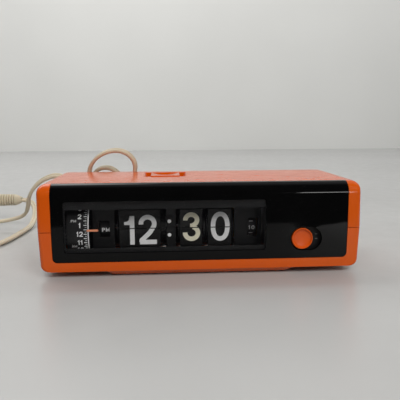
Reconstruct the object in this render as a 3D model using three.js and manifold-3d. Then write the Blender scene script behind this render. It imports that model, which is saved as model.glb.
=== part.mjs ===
// A mains flip number clock: a two-part plastic case with a black front panel, and behind its
// window an alarm dial, hour, tens and ones flap drums and a seconds drum on one shaft.
// Millimetres, +Z up, front towards -Y, origin under the middle of the clock.
import * as THREE from "three";
import { mergeVertices } from "three/addons/utils/BufferGeometryUtils.js";
import Module from "manifold-3d";

const wasm = await Module();
wasm.setup();

// ---------------------------------------------------------------- driving dimensions
const CASE_WIDTH = 206.5;
const CASE_FRONT = -47;
const CASE_REAR = 43;
const CASE_BOTTOM = 4;
const CASE_TOP = 59.8;
const SEAM_Z = 29.7;
const SEAM_GAP = 0.2;
const WALL = 2.2;
const UPPER_DRAFT = 0.5;
const LOWER_DRAFT = 2;
const SIDE_FILLET = 5;
const BOTTOM_FILLET = 4;
const FRONT_FILLET = 8;
const REAR_FILLET = 5;
const CORNER_RADIUS = 3;

const PANEL_HALF = 94.3;
const PANEL_BOTTOM = 10.2;
const PANEL_REAR = -39.3;
const PANEL_THICK = 2.5;
const FIT_GAP = 0.3;

const SLOT = { left: 57.2, right: 77.8, bottom: 15.1, top: 30.6 };
const SLIDE_KNOB = { x: 65.0, z: 22.85, radius: 6.9, height: 4.4, stem: 2 };
const ESCUTCHEON = { left: 54, right: 81, front: -41.8, rear: -40.6, bottom: 11, top: 36 };
const PLINTH = { left: -62.8, right: 61.3, front: -45.8, rear: 38, bottom: 0.8, slope: 3.4 };
const FOOT_PLACES = [[-51, -26], [50, -26], [-51, 26], [50, 26]];
const FOOT_RADIUS = 5.6;

const AXIS_Y = -21;
const AXIS_Z = 28.4;
const SHAFT_RADIUS = 1.5;
const BORE_RADIUS = 1.8;

const MASK = { left: -70.9, right: 40.6, front: -31.7, rear: -30.9, bottom: 8, top: 54, shelf: -43 };
// Each opening in the mask: left, right, bottom, top.
const OPENINGS = [
  [-66.3, -59.8, 23.3, 34.0],
  [-56.4, -22.6, 15.4, 41.4],
  [-16.4, 22.6, 15.4, 41.4],
  [31.5, 38.3, 22.1, 34.3],
];

const PLATE = { front: -29.8, rear: 4, bottom: 6.6, top: 53.2, thick: 1.2 };
const PILLAR_RADIUS = 1.3;
const PILLARS = [[-27, 50.5], [-1, 49.2], [-1, 11]];

const FLAP_THICK = 0.6;
const FLAP_HEIGHT = 12;
const UPPER_FLAP_Y = -31.4;
const LOWER_FLAP_Y = -31.0;
const UPPER_FLAP_Z = 28.7;
const LOWER_FLAP_Z = 16.1;
const DISC_RADIUS = 10.9;
const DISC_THICK = 0.8;
const DISC_NOTCHES = 12;
const HUB_RADIUS = 4.5;
// The flaps of each drum between left and right, and the thickness of the comb disc on its right.
const DRUMS = [
  { name: "hour", left: -53.7, right: -26.6, comb: 3.2 },
  { name: "tens", left: -13.6, right: 1.2, comb: 1.6 },
  { name: "ones", left: 5.1, right: 20.7, comb: 0.8 },
];
const SMALL_DRUM = { radius: 8.2, wall: 1.2, hub: 3 };
const DIAL = { left: -86, right: -71.6, radius: 21.5, wall: 1.4, hub: 4, web: -80 };
const POINTER = { left: -73, right: -65.8, front: -43.4, thick: 0.6, bottom: 29.4, top: 30.6, drop: 2.6 };

const LAY_Y = -13.35;
const LAY_Z = 37.5;
const MOTOR = { y: -1, z: 30, radius: 21.5, left: 44.4, right: 62, pinionY: -10 };
const COARSE_MODULE = 0.85;
const FINE_MODULE = 0.55;
const LAY_MODULE = 0.595;
const SETTING_Z = 43.5;
const TIME_KNOB_X = 34;
const ALARM_KNOB_X = -89.5;

const SNOOZE = { left: -38.5, right: -7.1, front: -3, rear: 29, floor: 55.5, slope: 4, wall: 1.8 };

const BUZZER = { x: 84, y: 4 };
const LAMP = { left: -62, right: -46, y: -38, z: 50.6, radius: 2.3 };
const TERMINALS = { left: 66, right: 84, front: 24, rear: 34, bottom: 6.6, top: 14, holes: [70, 75, 80] };

const CORD_RADIUS = 2;
const GLAND = { x: 58, z: 12, end: 65 };
const COIL = { x: 25.3, y: 108, inner: 21.6, outer: 38.4, bottom: 0.2, top: 7.4 };

// ---------------------------------------------------------------- colours
const finish = (color, roughness, metalness = 0) =>
  new THREE.MeshStandardMaterial({ color, roughness, metalness });
const ORANGE = finish(0xd2571a, 0.3);
const BLACK = finish(0x0c0c0d, 0.15);
const DARK = finish(0x2a2a2c, 0.6);
const FLAP = finish(0x1c1c1e, 0.5);
const WHITE = finish(0xe2ded2, 0.5);
const STEEL = finish(0xb9bcc0, 0.35, 0.9);
const BRASS = finish(0xb5924c, 0.35, 0.9);
const RUBBER = finish(0x18181a, 0.9);
const IVORY = finish(0xe9e2d0, 0.5);
const GLASS = finish(0xe8ddd0, 0.1);

// ---------------------------------------------------------------- solids
const degrees = (angle) => (angle * Math.PI) / 180;

function solid(geometry) {
  const bare = geometry.clone();
  bare.deleteAttribute("normal");
  bare.deleteAttribute("uv");
  const merged = mergeVertices(bare, 1e-4);
  const triangles = [];
  for (let corner = 0; corner < merged.index.count; corner += 3) {
    const [a, b, c] = merged.index.array.slice(corner, corner + 3);
    if (a !== b && b !== c && c !== a) triangles.push(a, b, c);
  }
  return new wasm.Manifold(
    new wasm.Mesh({
      numProp: 3,
      vertProperties: new Float32Array(merged.attributes.position.array),
      triVerts: new Uint32Array(triangles),
    }),
  );
}

function geometryOf(body) {
  const mesh = body.getMesh();
  const geometry = new THREE.BufferGeometry();
  geometry.setAttribute("position", new THREE.BufferAttribute(new Float32Array(mesh.vertProperties), 3));
  geometry.setIndex(new THREE.BufferAttribute(new Uint32Array(mesh.triVerts), 1));
  geometry.computeVertexNormals();
  return geometry;
}

function box(x0, x1, y0, y1, z0, z1) {
  const geometry = new THREE.BoxGeometry(x1 - x0, y1 - y0, z1 - z0);
  geometry.translate((x0 + x1) / 2, (y0 + y1) / 2, (z0 + z1) / 2);
  return solid(geometry);
}

function rodX(radius, x0, x1, y, z, sides = 12) {
  const geometry = new THREE.CylinderGeometry(radius, radius, x1 - x0, sides);
  geometry.rotateZ(-Math.PI / 2);
  geometry.translate((x0 + x1) / 2, y, z);
  return solid(geometry);
}

// A round piece along Y, whose radius may change from its front end to its rear end.
function rodY(frontRadius, rearRadius, y0, y1, x, z, sides = 12) {
  const geometry = new THREE.CylinderGeometry(rearRadius, frontRadius, y1 - y0, sides);
  geometry.translate(x, (y0 + y1) / 2, z);
  return solid(geometry);
}

function rodZ(lowRadius, highRadius, z0, z1, x, y, sides = 12) {
  const geometry = new THREE.CylinderGeometry(highRadius, lowRadius, z1 - z0, sides);
  geometry.rotateX(Math.PI / 2);
  geometry.translate(x, y, (z0 + z1) / 2);
  return solid(geometry);
}

// A section drawn in Y and Z, extruded along X.
function extrudeX(shape, x0, x1, curveSegments = 5) {
  const geometry = new THREE.ExtrudeGeometry(shape, { depth: x1 - x0, bevelEnabled: false, curveSegments });
  geometry.applyMatrix4(new THREE.Matrix4().set(0, 0, 1, x0, 1, 0, 0, 0, 0, 1, 0, 0, 0, 0, 0, 1));
  return solid(geometry);
}

// A section drawn in X and Z, extruded along Y.
function extrudeY(shape, y0, y1, curveSegments = 5) {
  const geometry = new THREE.ExtrudeGeometry(shape, { depth: y1 - y0, bevelEnabled: false, curveSegments });
  geometry.rotateX(Math.PI / 2);
  geometry.translate(0, y1, 0);
  return solid(geometry);
}

function extrudeZ(shape, z0, z1, curveSegments = 5) {
  const geometry = new THREE.ExtrudeGeometry(shape, { depth: z1 - z0, bevelEnabled: false, curveSegments });
  geometry.translate(0, 0, z0);
  return solid(geometry);
}

// A closed profile of [X, radius] points turned about the line along X through (y, z).
function turnX(profile, y, z, sides = 32) {
  const points = profile.map(([along, radius]) => new THREE.Vector2(radius, along));
  const geometry = new THREE.LatheGeometry(points, sides);
  geometry.rotateZ(-Math.PI / 2);
  geometry.translate(0, y, z);
  return solid(geometry);
}

// A tube of the given outer and inner radius along X.
function ringX(outer, inner, x0, x1, y, z, sides = 24) {
  return turnX([[x0, inner], [x0, outer], [x1, outer], [x1, inner], [x0, inner]], y, z, sides);
}

function roundedRect(x0, x1, y0, y1, radius) {
  const shape = new THREE.Shape();
  const quarter = Math.PI / 2;
  shape.absarc(x1 - radius, y0 + radius, radius, -quarter, 0, false);
  shape.absarc(x1 - radius, y1 - radius, radius, 0, quarter, false);
  shape.absarc(x0 + radius, y1 - radius, radius, quarter, 2 * quarter, false);
  shape.absarc(x0 + radius, y0 + radius, radius, 2 * quarter, 3 * quarter, false);
  shape.closePath();
  return shape;
}

function polygon(points) {
  return new THREE.Shape(points.map(([x, y]) => new THREE.Vector2(x, y)));
}

// A spur gear with narrow trapezoid teeth. One tooth points along the given angle, from +Y towards +Z.
function gearX(teeth, module_, x0, x1, y, z, firstTooth, bore) {
  const tip = (teeth * module_) / 2 + 0.75 * module_;
  const root = (teeth * module_) / 2 - 1.0 * module_;
  const pitch = (2 * Math.PI) / teeth;
  const points = [];
  for (let tooth = 0; tooth < teeth; tooth += 1) {
    const middle = degrees(firstTooth) + tooth * pitch;
    const corners = [[root, -0.26], [tip, -0.1], [tip, 0.1], [root, 0.26]];
    for (const [radius, part] of corners) {
      const angle = middle + part * pitch;
      points.push([y + radius * Math.cos(angle), z + radius * Math.sin(angle)]);
    }
  }
  return extrudeX(polygon(points), x0, x1).subtract(rodX(bore, x0 - 1, x1 + 1, y, z));
}

// ---------------------------------------------------------------- the scene graph
const clock = new THREE.Group();

function add(name, body, material) {
  const mesh = new THREE.Mesh(body.isBufferGeometry ? body : geometryOf(body), material);
  mesh.name = name;
  clock.add(mesh);
}

// ---------------------------------------------------------------- case
// One section of the case between two walls, drafted both ways from the seam, moved in by inset.
function caseSection(low, high, lowFillet, highFillet, bottomFillet, inset) {
  const a = low + inset;
  const b = high - inset;
  const top = CASE_TOP - inset;
  const bottom = CASE_BOTTOM + inset;
  const upper = (CASE_TOP - SEAM_Z) * Math.tan(degrees(UPPER_DRAFT));
  const lower = (SEAM_Z - CASE_BOTTOM) * Math.tan(degrees(LOWER_DRAFT));
  const lowRadius = Math.max(lowFillet - inset, 0.5);
  const highRadius = Math.max(highFillet - inset, 0.5);
  const bottomRadius = Math.max(bottomFillet - inset, 0.3);
  const quarter = Math.PI / 2;
  const shape = new THREE.Shape();
  const foot = a + lower + bottomRadius;
  shape.moveTo(foot, bottom);
  shape.absarc(b - lower - bottomRadius, bottom + bottomRadius, bottomRadius, -quarter, 0, false);
  shape.lineTo(b, SEAM_Z);
  shape.absarc(b - upper - highRadius, top - highRadius, highRadius, 0, quarter, false);
  shape.absarc(a + upper + lowRadius, top - lowRadius, lowRadius, quarter, 2 * quarter, false);
  shape.lineTo(a, SEAM_Z);
  shape.absarc(foot, bottom + bottomRadius, bottomRadius, 2 * quarter, 3 * quarter, false);
  shape.closePath();
  return shape;
}

function caseBody(inset) {
  const half = CASE_WIDTH / 2;
  const front = caseSection(-half, half, SIDE_FILLET, SIDE_FILLET, BOTTOM_FILLET, inset);
  const side = caseSection(CASE_FRONT, CASE_REAR, FRONT_FILLET, REAR_FILLET, 0, inset);
  const across = extrudeY(front, CASE_FRONT - 5, CASE_REAR + 5);
  const along = extrudeX(side, -half - 5, half + 5);
  const radius = Math.max(CORNER_RADIUS - inset, 0.5);
  const plan = roundedRect(-half + inset, half - inset, CASE_FRONT + inset, CASE_REAR - inset, radius);
  return across.intersect(along).intersect(extrudeZ(plan, 0, CASE_TOP + 5, 3));
}

const panelOpening = box(-PANEL_HALF - FIT_GAP, PANEL_HALF + FIT_GAP, CASE_FRONT - 2, PANEL_REAR + FIT_GAP,
  PANEL_BOTTOM - FIT_GAP, CASE_TOP + 2);
const shell = caseBody(0).subtract(caseBody(WALL)).subtract(panelOpening);

function snoozeWell() {
  const { left, right, front, rear, floor, slope, wall } = SNOOZE;
  const walls = polygon([
    [left - wall, CASE_TOP - 1],
    [left + slope - wall, floor - wall],
    [right - slope + wall, floor - wall],
    [right + wall, CASE_TOP - 1],
  ]);
  return extrudeY(walls, front - wall, rear + wall);
}

function snoozePocket() {
  const { left, right, front, rear, floor, slope } = SNOOZE;
  const hollow = polygon([
    [left, CASE_TOP + 0.1],
    [left + slope, floor],
    [right - slope, floor],
    [right, CASE_TOP + 0.1],
  ]);
  const middle = (left + right) / 2;
  const stemHole = box(middle - 4.4, middle + 4.4, 8.6, 17.4, floor - 4, floor + 1);
  return extrudeY(hollow, front, rear).add(stemHole);
}

function upperCase() {
  let body = shell.intersect(box(-110, 110, -60, 60, SEAM_Z + SEAM_GAP / 2, 70));
  body = body.add(snoozeWell()).subtract(snoozePocket());
  for (const x of [TIME_KNOB_X, ALARM_KNOB_X]) {
    body = body.subtract(rodY(2, 2, CASE_REAR - 5, CASE_REAR + 5, x, SETTING_Z));
  }
  return body;
}

function lowerCase() {
  let body = shell.intersect(box(-110, 110, -60, 60, 0, SEAM_Z - SEAM_GAP / 2));
  body = body.subtract(rodY(3.8, 3.8, CASE_REAR - 6, CASE_REAR + 5, GLAND.x, GLAND.z));
  for (let vent = 0; vent < 9; vent += 1) {
    const x = -40 + vent * 7;
    body = body.subtract(box(x, x + 3, CASE_REAR - 6, CASE_REAR + 5, 12, 24));
  }
  return body;
}

function frontPanel() {
  const outline = roundedRect(-PANEL_HALF, PANEL_HALF, PANEL_BOTTOM, CASE_TOP + 5, 3);
  const skin = caseBody(0).subtract(caseBody(PANEL_THICK));
  const plate = skin.intersect(extrudeY(outline, CASE_FRONT - 2, PANEL_REAR, 3));
  const radius = (SLOT.top - SLOT.bottom) / 2 - 0.01;
  const slot = roundedRect(SLOT.left, SLOT.right, SLOT.bottom, SLOT.top, radius);
  return plate.subtract(extrudeY(slot, CASE_FRONT - 2, CASE_FRONT + 6, 6));
}

add("upper_case", upperCase(), ORANGE);
add("lower_case", lowerCase(), ORANGE);
add("front_panel", frontPanel(), BLACK);

// The plinth is a shallow tray under the case, and its sides slope in towards the table.
function basePlinth() {
  const { left, right, front, rear, bottom, slope } = PLINTH;
  const top = CASE_BOTTOM - 0.1;
  const rim = roundedRect(left, right, front, rear, 4);
  const sole = roundedRect(left + slope, right - slope, front + slope, rear - slope, 4);
  let tray = wasm.Manifold.hull([extrudeZ(rim, top - 0.3, top, 3), extrudeZ(sole, bottom, bottom + 0.2, 3)]);
  for (const [x, y] of FOOT_PLACES) {
    tray = tray.subtract(rodZ(FOOT_RADIUS + 0.8, FOOT_RADIUS + 0.8, 0, 2.4, x, y, 16));
  }
  return tray;
}
add("base_plinth", basePlinth(), ORANGE);

FOOT_PLACES.forEach(([x, y], index) => {
  add(`rubber_foot_${index + 1}`, rodZ(FOOT_RADIUS, FOOT_RADIUS + 0.3, 0, 2.1, x, y, 16), RUBBER);
});

// ---------------------------------------------------------------- snooze bar
function snoozeBar() {
  const middle = (SNOOZE.left + SNOOZE.right) / 2;
  const section = new THREE.Shape();
  section.moveTo(middle - 10.4, 57.8);
  section.lineTo(middle + 10.4, 57.8);
  section.lineTo(middle + 10.4, CASE_TOP);
  section.quadraticCurveTo(middle, CASE_TOP - 2.4, middle - 10.4, CASE_TOP);
  section.closePath();
  const bar = extrudeY(section, SNOOZE.front + 0.6, SNOOZE.rear - 0.6, 8);
  return bar.add(box(middle - 4, middle + 4, 9, 17, 51, 58));
}
add("snooze_bar", snoozeBar(), ORANGE);

function snoozeSpring() {
  const left = -36;
  const right = -9.6;
  const strip = polygon([
    [left, 53.4], [left, 47], [right, 47], [right, 53.4], [right - 0.6, 53.4],
    [right - 0.6, 47.6], [left + 0.6, 47.6], [left + 0.6, 53.4],
  ]);
  return extrudeY(strip, 10, 16);
}
add("snooze_spring", snoozeSpring(), STEEL);

// ---------------------------------------------------------------- alarm slide
// The knob's face is dished inside a raised rim, and its square stem passes through the escutcheon.
function alarmKnob() {
  const { x, z, radius, height, stem } = SLIDE_KNOB;
  const face = CASE_FRONT + 0.4;
  const points = [[0, 2.2], [4.5, 1.8], [5.9, 0.9], [6.4, 0], [radius, 0.5], [radius, height], [0, height]];
  const geometry = new THREE.LatheGeometry(points.map(([r, y]) => new THREE.Vector2(r, y)), 28);
  geometry.translate(x, face, z);
  return solid(geometry).add(box(x - stem, x + stem, face + 4, face + 7.2, z - stem, z + stem));
}
add("alarm_knob", alarmKnob(), ORANGE);

// The escutcheon closes the slot behind the panel and has the slit for the knob's stem.
function slideEscutcheon() {
  const { left, right, front, rear, bottom, top } = ESCUTCHEON;
  const { x, z, stem } = SLIDE_KNOB;
  const half = stem + 0.4;
  const slit = box(x - half, x + 8, front - 1, rear + 1, z - half, z + half);
  return box(left, right, front, rear, bottom, top).subtract(slit);
}
add("slide_escutcheon", slideEscutcheon(), BLACK);
add("alarm_slider", box(58, 72, -39.2, -36.8, SLIDE_KNOB.z - 4, SLIDE_KNOB.z + 4), STEEL);

// ---------------------------------------------------------------- mask and frame
function maskPlate() {
  const { left, right, front, rear, bottom, top, shelf } = MASK;
  let plate = box(left, right, front, rear, bottom, top);
  for (const [x0, x1, z0, z1] of OPENINGS) {
    plate = plate.subtract(box(x0, x1, front - 1, rear + 1, z0, z1));
  }
  return plate.add(box(left, right, shelf, front, bottom, bottom + 0.8));
}
add("mask_plate", maskPlate(), BLACK);

// The pointer lies across the front of the alarm dial, on a leg that slopes up from the mask.
function alarmPointer() {
  const { left, right, front, thick, bottom, top, drop } = POINTER;
  const slope = polygon([
    [front, bottom],
    [MASK.front, bottom - drop],
    [MASK.front, top - drop],
    [front, top],
  ]);
  const leg = extrudeX(slope, right - 2.4, right - 1.2);
  return box(left, right, front, front + thick, bottom, top).add(leg);
}
add("alarm_pointer", alarmPointer(), ORANGE);
add("flap_finger", box(-56, 22, -30.6, -30.1, 42.3, 47), STEEL);

function framePlate(left) {
  const { front, rear, bottom, top, thick } = PLATE;
  let plate = extrudeX(roundedRect(front, rear, bottom, top, 3), left, left + thick, 3);
  const holes = [[AXIS_Y, AXIS_Z, BORE_RADIUS], ...PILLARS.map(([y, z]) => [y, z, PILLAR_RADIUS + 0.3])];
  for (const [y, z, radius] of holes) {
    plate = plate.subtract(rodX(radius, left - 1, left + thick + 1, y, z, 10));
  }
  return plate;
}
const layHole = rodX(1.2, 22, 44, LAY_Y, LAY_Z);
const pinionHole = rodX(1.8, 40, 44, MOTOR.pinionY, AXIS_Z);
add("left_plate", framePlate(-70.9), STEEL);
add("middle_plate", framePlate(-20.4), STEEL);
add("gear_plate", framePlate(25.3).subtract(layHole), STEEL);
add("right_plate", framePlate(41).subtract(layHole).subtract(pinionHole), STEEL);
PILLARS.forEach(([y, z], index) => {
  add(`frame_pillar_${index + 1}`, rodX(PILLAR_RADIUS, -71.4, 42.5, y, z, 12), STEEL);
});
add("main_shaft", rodX(SHAFT_RADIUS, -93, 42.3, AXIS_Y, AXIS_Z), STEEL);

// ---------------------------------------------------------------- drums
// The discs' rims are notched like a comb, one notch for each flap's hinge.
function notchedDisc(x0, x1) {
  const root = DISC_RADIUS - 1.1;
  const points = [];
  for (let tooth = 0; tooth < DISC_NOTCHES; tooth += 1) {
    const corners = [[root, -0.4], [DISC_RADIUS, -0.36], [DISC_RADIUS, 0.36], [root, 0.4]];
    for (const [radius, part] of corners) {
      const angle = ((tooth + part) * 2 * Math.PI) / DISC_NOTCHES;
      points.push([AXIS_Y + radius * Math.cos(angle), AXIS_Z + radius * Math.sin(angle)]);
    }
  }
  return extrudeX(polygon(points), x0, x1);
}

function spool(left, right, comb) {
  const x0 = left - 0.5 - DISC_THICK;
  const x1 = right + 0.5 + comb;
  return notchedDisc(x0, x0 + DISC_THICK)
    .add(notchedDisc(x1 - comb, x1))
    .add(rodX(HUB_RADIUS, x0, x1, AXIS_Y, AXIS_Z))
    .subtract(rodX(BORE_RADIUS, x0 - 1, x1 + 1, AXIS_Y, AXIS_Z));
}

// The flaps that wait behind the two on show, fanned out round the hub.
function flapPack(left, right) {
  const flaps = 10;
  const first = -118;
  const last = 128;
  let pack = ringX(HUB_RADIUS + 1.3, HUB_RADIUS + 0.3, left + 0.4, right - 0.4, AXIS_Y, AXIS_Z, 12);
  for (let flap = 0; flap < flaps; flap += 1) {
    const leaf = new THREE.BoxGeometry(right - left - 0.8, 10, FLAP_THICK);
    leaf.translate((left + right) / 2, HUB_RADIUS + 5.9, 0);
    leaf.rotateX(degrees(first + ((last - first) * flap) / (flaps - 1)));
    leaf.translate(0, AXIS_Y, AXIS_Z);
    pack = pack.add(solid(leaf));
  }
  return pack;
}

for (const { name, left, right, comb } of DRUMS) {
  add(`${name}_drum`, spool(left, right, comb), DARK);
  add(`${name}_flap_upper`, box(left, right, UPPER_FLAP_Y, UPPER_FLAP_Y + FLAP_THICK,
    UPPER_FLAP_Z, UPPER_FLAP_Z + FLAP_HEIGHT), FLAP);
  add(`${name}_flap_lower`, box(left, right, LOWER_FLAP_Y, LOWER_FLAP_Y + FLAP_THICK,
    LOWER_FLAP_Z, LOWER_FLAP_Z + FLAP_HEIGHT), FLAP);
  add(`${name}_flap_pack`, flapPack(left, right), FLAP);
}

// A drum with a printed rim: a thin wall, one web and a bored hub.
function printedDrum(left, right, web, { radius, wall, hub }) {
  const inside = radius - wall;
  const webEnd = web + 1.2;
  const profile = [
    [left, inside], [left, radius], [right, radius], [right, inside], [webEnd, inside], [webEnd, hub],
    [right, hub], [right, BORE_RADIUS], [left, BORE_RADIUS], [left, hub], [web, hub], [web, inside],
    [left, inside],
  ];
  return turnX(profile, AXIS_Y, AXIS_Z, radius > 12 ? 28 : 18);
}
add("am_pm_drum", printedDrum(-66.4, -59.6, -64, SMALL_DRUM), DARK);

// The alarm dial carries its own driving wheel on the end of its hub.
const alarmWheel = gearX(26, 0.9, -91.2, -88.2, AXIS_Y, AXIS_Z, 0, BORE_RADIUS);
const alarmHub = ringX(DIAL.hub, BORE_RADIUS, -88.3, DIAL.left + 0.1, AXIS_Y, AXIS_Z, 20);
const alarmDrum = printedDrum(DIAL.left, DIAL.right, DIAL.web, DIAL);
add("alarm_dial", alarmDrum.add(alarmHub).add(alarmWheel), WHITE);

// ---------------------------------------------------------------- gears
// A tooth of each gear on the main shaft meets the middle of a gap on its partner.
const LAY_ANGLE = (Math.atan2(LAY_Z - AXIS_Z, LAY_Y - AXIS_Y) * 180) / Math.PI;
const gapTowards = (angle, teeth) => angle + 180 - 180 / teeth;

const axisGear = (teeth, module_, x0, x1, firstTooth, bore) =>
  gearX(teeth, module_, x0, x1, AXIS_Y, AXIS_Z, firstTooth, bore);
const layGear = (teeth, module_, x0, x1) =>
  gearX(teeth, module_, x0, x1, LAY_Y, LAY_Z, gapTowards(LAY_ANGLE, teeth), 1.1);

add("ones_gear", axisGear(20, COARSE_MODULE, 22.7, 24.7, LAY_ANGLE, BORE_RADIUS), BRASS);
const secondsPinion = axisGear(8, LAY_MODULE, 27.3, 30.7, LAY_ANGLE, SHAFT_RADIUS + 0.1);
add("seconds_drum", printedDrum(30.5, 37.7, 33, SMALL_DRUM).add(secondsPinion), DARK);
add("seconds_gear", axisGear(32, FINE_MODULE, 38.2, 40.2, 0, BORE_RADIUS), BRASS);
const settingPinion = gearX(10, 0.5, 33, 35.4, LAY_Y, LAY_Z, 0, 0.7);
add("layshaft", rodX(0.9, 22.3, 42.4, LAY_Y, LAY_Z, 12).add(settingPinion), STEEL);
add("layshaft_pinion", layGear(8, COARSE_MODULE, 22.7, 24.9), BRASS);
add("layshaft_gear", layGear(32, LAY_MODULE, 27.7, 29.7), BRASS);

function motorPinion() {
  const teeth = gearX(8, FINE_MODULE, 38, 40.4, MOTOR.pinionY, AXIS_Z, gapTowards(0, 8), 0.7);
  return teeth.add(rodX(0.9, 38, 42.6, MOTOR.pinionY, AXIS_Z, 12));
}
add("motor_pinion", motorPinion(), BRASS);

function motor() {
  const can = rodX(MOTOR.radius, MOTOR.left, MOTOR.right, MOTOR.y, MOTOR.z, 40);
  const flange = extrudeX(roundedRect(-25, 23, 10, 50, 6), MOTOR.left - 1.6, MOTOR.left + 0.1, 3);
  return can.add(flange).subtract(rodX(1.6, 42, 48, MOTOR.pinionY, AXIS_Z));
}
add("motor", motor(), STEEL);

// ---------------------------------------------------------------- setting knobs at the rear
// Each knob turns a shaft whose grooved front end drives the wheel below it.
function settingKnob(x, wheelY) {
  let body = rodY(2.4, 2.4, wheelY - 3.5, wheelY + 3.5, x, SETTING_Z);
  for (let groove = -1; groove <= 1; groove += 1) {
    const y = wheelY + groove * 2;
    const core = rodY(1.9, 1.9, y - 1, y + 1, x, SETTING_Z);
    const ring = rodY(3, 3, y - 0.4, y + 0.4, x, SETTING_Z).subtract(core);
    body = body.subtract(ring);
  }
  const ribs = 12;
  const outline = [];
  for (let corner = 0; corner < 2 * ribs; corner += 1) {
    const angle = (corner * Math.PI) / ribs;
    const radius = corner % 2 === 0 ? 7.5 : 6.9;
    outline.push([x + radius * Math.cos(angle), SETTING_Z + radius * Math.sin(angle)]);
  }
  return body.add(rodY(1.2, 1.2, wheelY - 5, CASE_REAR + 1, x, SETTING_Z))
    .add(extrudeY(polygon(outline), CASE_REAR + 0.4, CASE_REAR + 4));
}
add("time_set_knob", settingKnob(TIME_KNOB_X, LAY_Y), BLACK);
add("alarm_set_knob", settingKnob(ALARM_KNOB_X, AXIS_Y), BLACK);

// ---------------------------------------------------------------- electrical pieces
function buzzerCoil() {
  const { x, y } = BUZZER;
  return rodZ(7, 7, 6.6, 8, x, y, 20)
    .add(rodZ(5.6, 5.6, 7.9, 18, x, y, 20))
    .add(rodZ(7, 7, 17.9, 19.2, x, y, 20))
    .add(rodZ(1.6, 1.6, 19, 20.2, x, y, 12));
}
add("buzzer_coil", buzzerCoil(), BRASS);
const reedLeg = box(94, 95, BUZZER.y - 4, BUZZER.y + 4, 6.6, 21);
add("buzzer_reed", box(76, 95, BUZZER.y - 4, BUZZER.y + 4, 20.8, 21.4).add(reedLeg), STEEL);
add("neon_lamp", rodX(LAMP.radius, LAMP.left, LAMP.right, LAMP.y, LAMP.z, 12), GLASS);

function terminalBlock() {
  const { left, right, front, rear, bottom, top, holes } = TERMINALS;
  let block = box(left, right, front, rear, bottom, top);
  for (const x of holes) {
    block = block.subtract(rodZ(1.6, 1.6, 9, top + 1, x, (front + rear) / 2, 10));
  }
  return block;
}
add("terminal_block", terminalBlock(), WHITE);

// ---------------------------------------------------------------- mains cord
function cordGland() {
  return rodY(3.3, 3.3, CASE_REAR - 5, CASE_REAR, GLAND.x, GLAND.z)
    .add(rodY(6, 6, CASE_REAR - 0.3, CASE_REAR + 1.7, GLAND.x, GLAND.z, 20))
    .add(rodY(4.6, 3.2, CASE_REAR + 1.6, GLAND.end, GLAND.x, GLAND.z));
}
add("cord_gland", cordGland(), IVORY);

function cordTube(points, steps) {
  const section = new THREE.Shape();
  section.absarc(0, 0, CORD_RADIUS, 0, 2 * Math.PI, false);
  const vectors = points.map((point) => new THREE.Vector3(...point));
  const extrudePath = new THREE.CatmullRomCurve3(vectors, false, "catmullrom", 0.5);
  const options = { steps, curveSegments: 4, extrudePath, bevelEnabled: false };
  return solid(new THREE.ExtrudeGeometry(section, options));
}

const LEAD_ROUTE = [[58, 65.3, 12], [58, 71, 11.3], [58, 77.8, 8.8], [58, 84.4, 6.7]];
add("cord_lead", cordTube(LEAD_ROUTE, 4), IVORY);

function cordCoil() {
  const { inner, outer, bottom, top } = COIL;
  const profile = [[inner, bottom], [outer, bottom], [outer, top], [inner, top], [inner, bottom]];
  const geometry = new THREE.LatheGeometry(profile.map(([r, z]) => new THREE.Vector2(r, z)), 32);
  geometry.rotateX(Math.PI / 2);
  geometry.translate(COIL.x, COIL.y, 0);
  return solid(geometry);
}
add("cord_coil", cordCoil(), IVORY);

// From the coil across the table, twice up against the back of the case and down, out to the left,
// round in a wide bend on the table, and back to the plug behind.
const TAIL_ROUTE = [
  [6, 143.4, 2.3], [-12, 142.5, 2.3], [-30, 136, 2.3], [-45, 123, 2.3], [-57, 106, 2.3], [-68, 89, 3],
  [-77, 75, 8], [-83.5, 66, 18], [-86, 58.5, 32], [-85.5, 51.5, 47],
  [-83.4, 47.2, 57.6], [-81.5, 44.4, 64.1], [-77.3, 42.2, 69.7], [-71.6, 40.7, 73.7], [-65.1, 39.8, 76],
  [-58.5, 39.7, 76.2], [-52, 40.3, 73.6], [-47.8, 41.9, 68.6], [-46.6, 44, 62.5], [-48.4, 47.3, 55.5],
  [-52, 51.8, 45.5], [-54.5, 57.5, 31], [-58, 64, 16], [-65, 68.5, 7.5], [-74, 71.5, 6.5], [-81.5, 73, 12],
  [-85.5, 71, 24], [-85.5, 64, 38], [-83.5, 58.7, 49.5],
  [-81.1, 56, 56.8], [-74.9, 54.3, 61.3], [-67.3, 54.3, 61.3], [-61.1, 55.8, 56.8], [-58.7, 58.6, 49.5],
  [-59, 62.3, 40], [-63, 67.5, 29.5], [-71.2, 73.7, 22.8], [-81.8, 78, 25], [-92, 79, 34], [-100, 77, 45],
  [-107, 75, 51.3], [-115, 73.6, 53.9], [-123.5, 73, 51.7], [-130.5, 73.5, 47.2], [-135.8, 74.2, 41.2],
  [-139.4, 77.3, 34.6], [-142.3, 84, 27], [-146.5, 92.2, 19.6], [-153.5, 99.3, 14.6], [-163, 103, 11.6],
  [-176, 103.3, 9.4], [-190, 102, 6.5], [-202, 97.5, 3.5], [-210, 88, 2.4], [-212, 75, 2.3], [-208, 61, 2.3],
  [-199, 48, 2.3], [-187, 38, 2.3], [-173, 33, 2.3], [-161.5, 37, 2.3], [-156, 50, 2.3], [-153, 67, 2.3],
  [-151.4, 84, 2.3], [-150.4, 100, 2.3], [-149.8, 114, 2.6], [-149.8, 126, 4.6], [-150.4, 136.6, 8.8],
  [-152.2, 146.4, 14.2], [-156.8, 154.2, 18.8], [-161.8, 157.4, 20.8], [-167.5, 159, 21.6],
];
add("cord_tail", cordTube(TAIL_ROUTE, 80), IVORY);

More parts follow.
